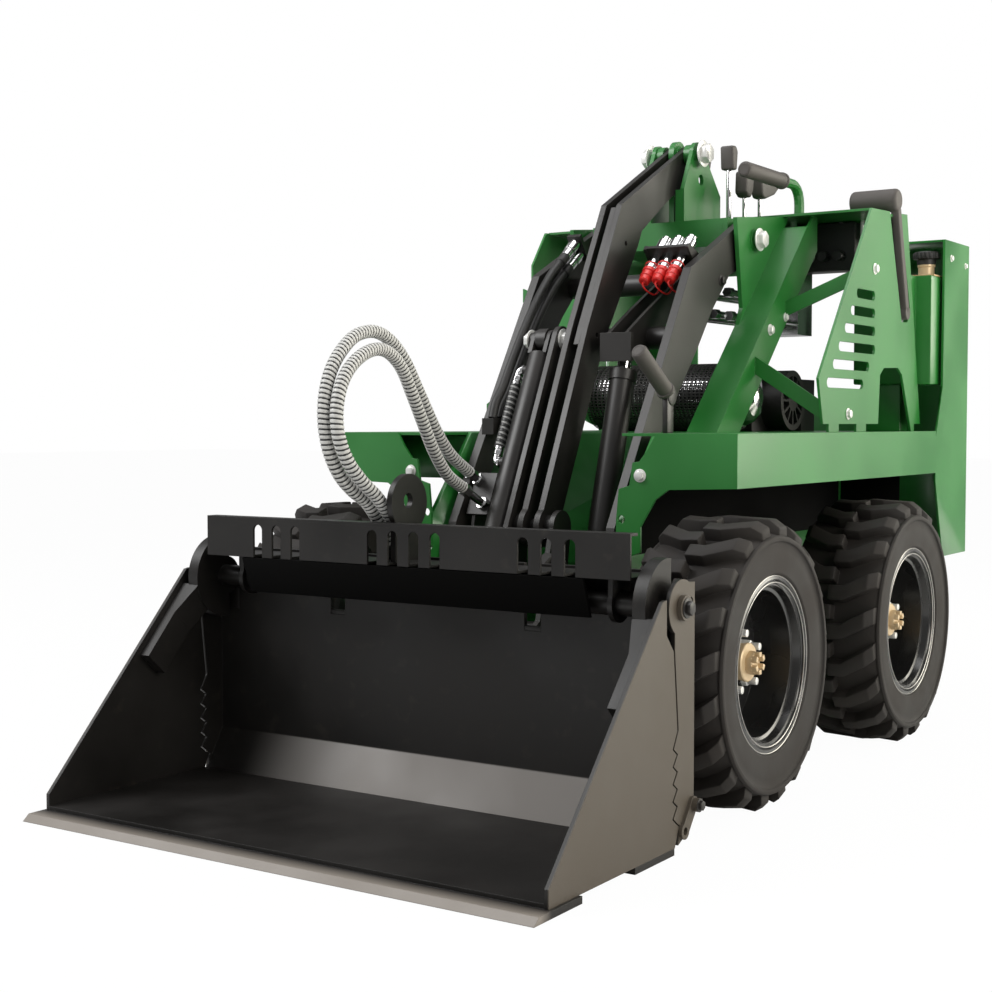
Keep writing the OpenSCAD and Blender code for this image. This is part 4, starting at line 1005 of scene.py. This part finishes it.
# %% Cut sheets
def recut(node_name, name, cuts):
    """A copy of a solid, cut by planes."""
    alone()
    mesh = nodes[node_name].data.copy()
    mesh.transform(nodes[node_name].matrix_world)
    piece = bpy.data.objects.new(name, mesh)
    scene.collection.objects.link(piece)
    piece.select_set(True)
    bpy.context.view_layer.objects.active = piece
    bpy.ops.object.mode_set(mode="EDIT")
    bpy.ops.mesh.select_all(action="SELECT")
    bpy.ops.mesh.remove_doubles(threshold=WELD)
    sliced(cuts)
    closed_up()
    return piece


cut_tub = recut("tub", "tub_cut", [(place(0, 75, 628.5), (0, -0.763, 0.6465))])
walls = [plate([place(side * x, 150, DECK + z) for x, z in ((239, -104), (484, -104), (484, -8), (239, -8))],
               (0, 0.006, 0), 0.001) for side in (1, -1)]
settled(joined([cut_tub] + walls), "tub_cut", "green_paint")
cut_guard = recut("guard_right", "guard_right_cut",
                  [(place(-450, 750, 1000), (0, -1, 0)), (place(-450, 750, 1150), (0, -0.8065, 0.5914))])
toe = plate(side_outline([(655, 18), (775, 18), (775, 75), (700, 75), (655, 45)], -450, 0, DECK),
            (0.006, 0, 0), 0.001)
settled(joined([cut_guard, toe]), "guard_right_cut", "green_paint")
for piece, node_name in ((cut_tub, "tub"), (cut_guard, "guard_right")):
    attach(piece, "base")
    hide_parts(node_name)
print("cut sheets ready")

# %% [markdown]
# The wheel arches are painted dark inside: thin near-black sheets of painted shade stand on the tub's walls
# and behind the rear wheels. Two studs hold the block under the console.

# %% Painted shade sheets in the wheel arches, and console studs
SHADE_SHEET_T = 0.0025
arch_outline = [(150, 705), (12, 545), (12, 470), (1160, 470), (1160, 705)]
# painted shade: near-black sheets on the tub's walls and behind the rear wheels
shade_sheets = [plate(side_outline(arch_outline, side * 238.5, 0, 0), (side * SHADE_SHEET_T, 0, 0), 0.0006)
          for side in (1, -1)]
shade_sheets += [plate([place(side * x, 1171, z) for x, z in ((242, 404), (400, 404), (400, 608), (242, 608))],
                 (0, SHADE_SHEET_T, 0), 0.0006) for side in (1, -1)]
shade_sheet_piece = settled(joined(shade_sheets), "painted_shade_sheets", "painted_shade_black")
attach(shade_sheet_piece, "base")
console_studs = [bar(place(x, 1000, 1188), place(x, 1000, 1240), 0.005, 0.001, 20) for x in (303, 358)]
stud_piece = settled(joined(console_studs), "console_studs", "zinc")
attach(stud_piece, "base")
print("liners and studs ready")

# %% [markdown]
# The rear frame is open in its middle, so that one looks through the engine bay. Its sides are copies of the
# solid, cut off left and right of the opening, and four plates close the frame. The tank reaches into it.

# %% Rear frame and tank
def block(low, high, ease=0.0015):
    """A box between two corners in millimetres, with eased edges."""
    corners = [place(x, y, low[2]) for x, y in ((low[0], low[1]), (high[0], low[1]), (high[0], high[1]),
                                                (low[0], high[1]))]
    return plate(corners, (0, 0, (high[2] - low[2]) / 1000), ease)


frame_left = recut("rear_panel", "frame_left", [(place(330, 1300, 800), (-1, 0, 0))])
frame_right = recut("rear_panel", "frame_right", [(place(-300, 1300, 800), (1, 0, 0))])
bands = [block((-301, 1424, 395), (331, 1430, 780)), block((-301, 1424, 1160), (331, 1430, 1204)),
         block((-301, 1230, 1198), (331, 1429, 1204)), block((-301, 1240, 395), (331, 1429, 401))]
rear_frame = settled(joined([frame_left, frame_right] + bands), "rear_frame", "green_paint")
tank_body = settled(joined([block((300, 1100, 835), (438, 1215, 1110), 0.004),
                            block((320, 1110, 717), (420, 1170, 836), 0.003),
                            block((300, 1168, 835), (478, 1285, 1110), 0.004)]), "tank_body", "green_paint")
for piece, node_name in ((rear_frame, "rear_panel"), (tank_body, "tank")):
    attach(piece, "base")
    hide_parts(node_name)
print("rear frame and tank ready")

# %% [markdown]
# A valve block with four spools hangs under the console. On the bucket, small patches fill the foot of four
# notches in the blade, and a near-black sheet of painted shade below the spill guard hides the tube behind
# it.

# %% Valve block, blade patches and painted shade sheet
spools = [bar(place(x, 955, 1150), place(x, 990, 1150), 0.012, 0.002, 20) for x in (190, 230, 270, 310)]
valve_body = block((160, 985, 1115), (345, 1048, 1233), 0.004)
valve = settled(joined([valve_body] + spools), "valve_bank", "cast_iron")
patches = [block((x - 17.8, -321.8, 355), (x + 17.8, -312.2, 364), 0.0005) for x in (-230, 230)]
patches += [block((x - 24, -321.8, 350), (x + 24, -312.2, 398), 0.0005) for x in (-520, 520)]
patch_piece = settled(joined(patches), "blade_patches", "bucket_paint")
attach(patch_piece, "bucket")
# painted shade: a near-black sheet below the spill guard
shade_apron = settled(plate(side_outline([(-422, 468.5), (-414, 468.5), (-389, 398), (-396, 398)], -395, 0, 0),
                      (0.790, 0, 0), 0.001), "spill_shade_apron", "painted_shade_black")
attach(valve, "base")
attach(shade_apron, "bucket")
print("valve block, patches and apron ready")

# %% [markdown]
# Last, the script says that it is done.

# %% Finish
print("done")
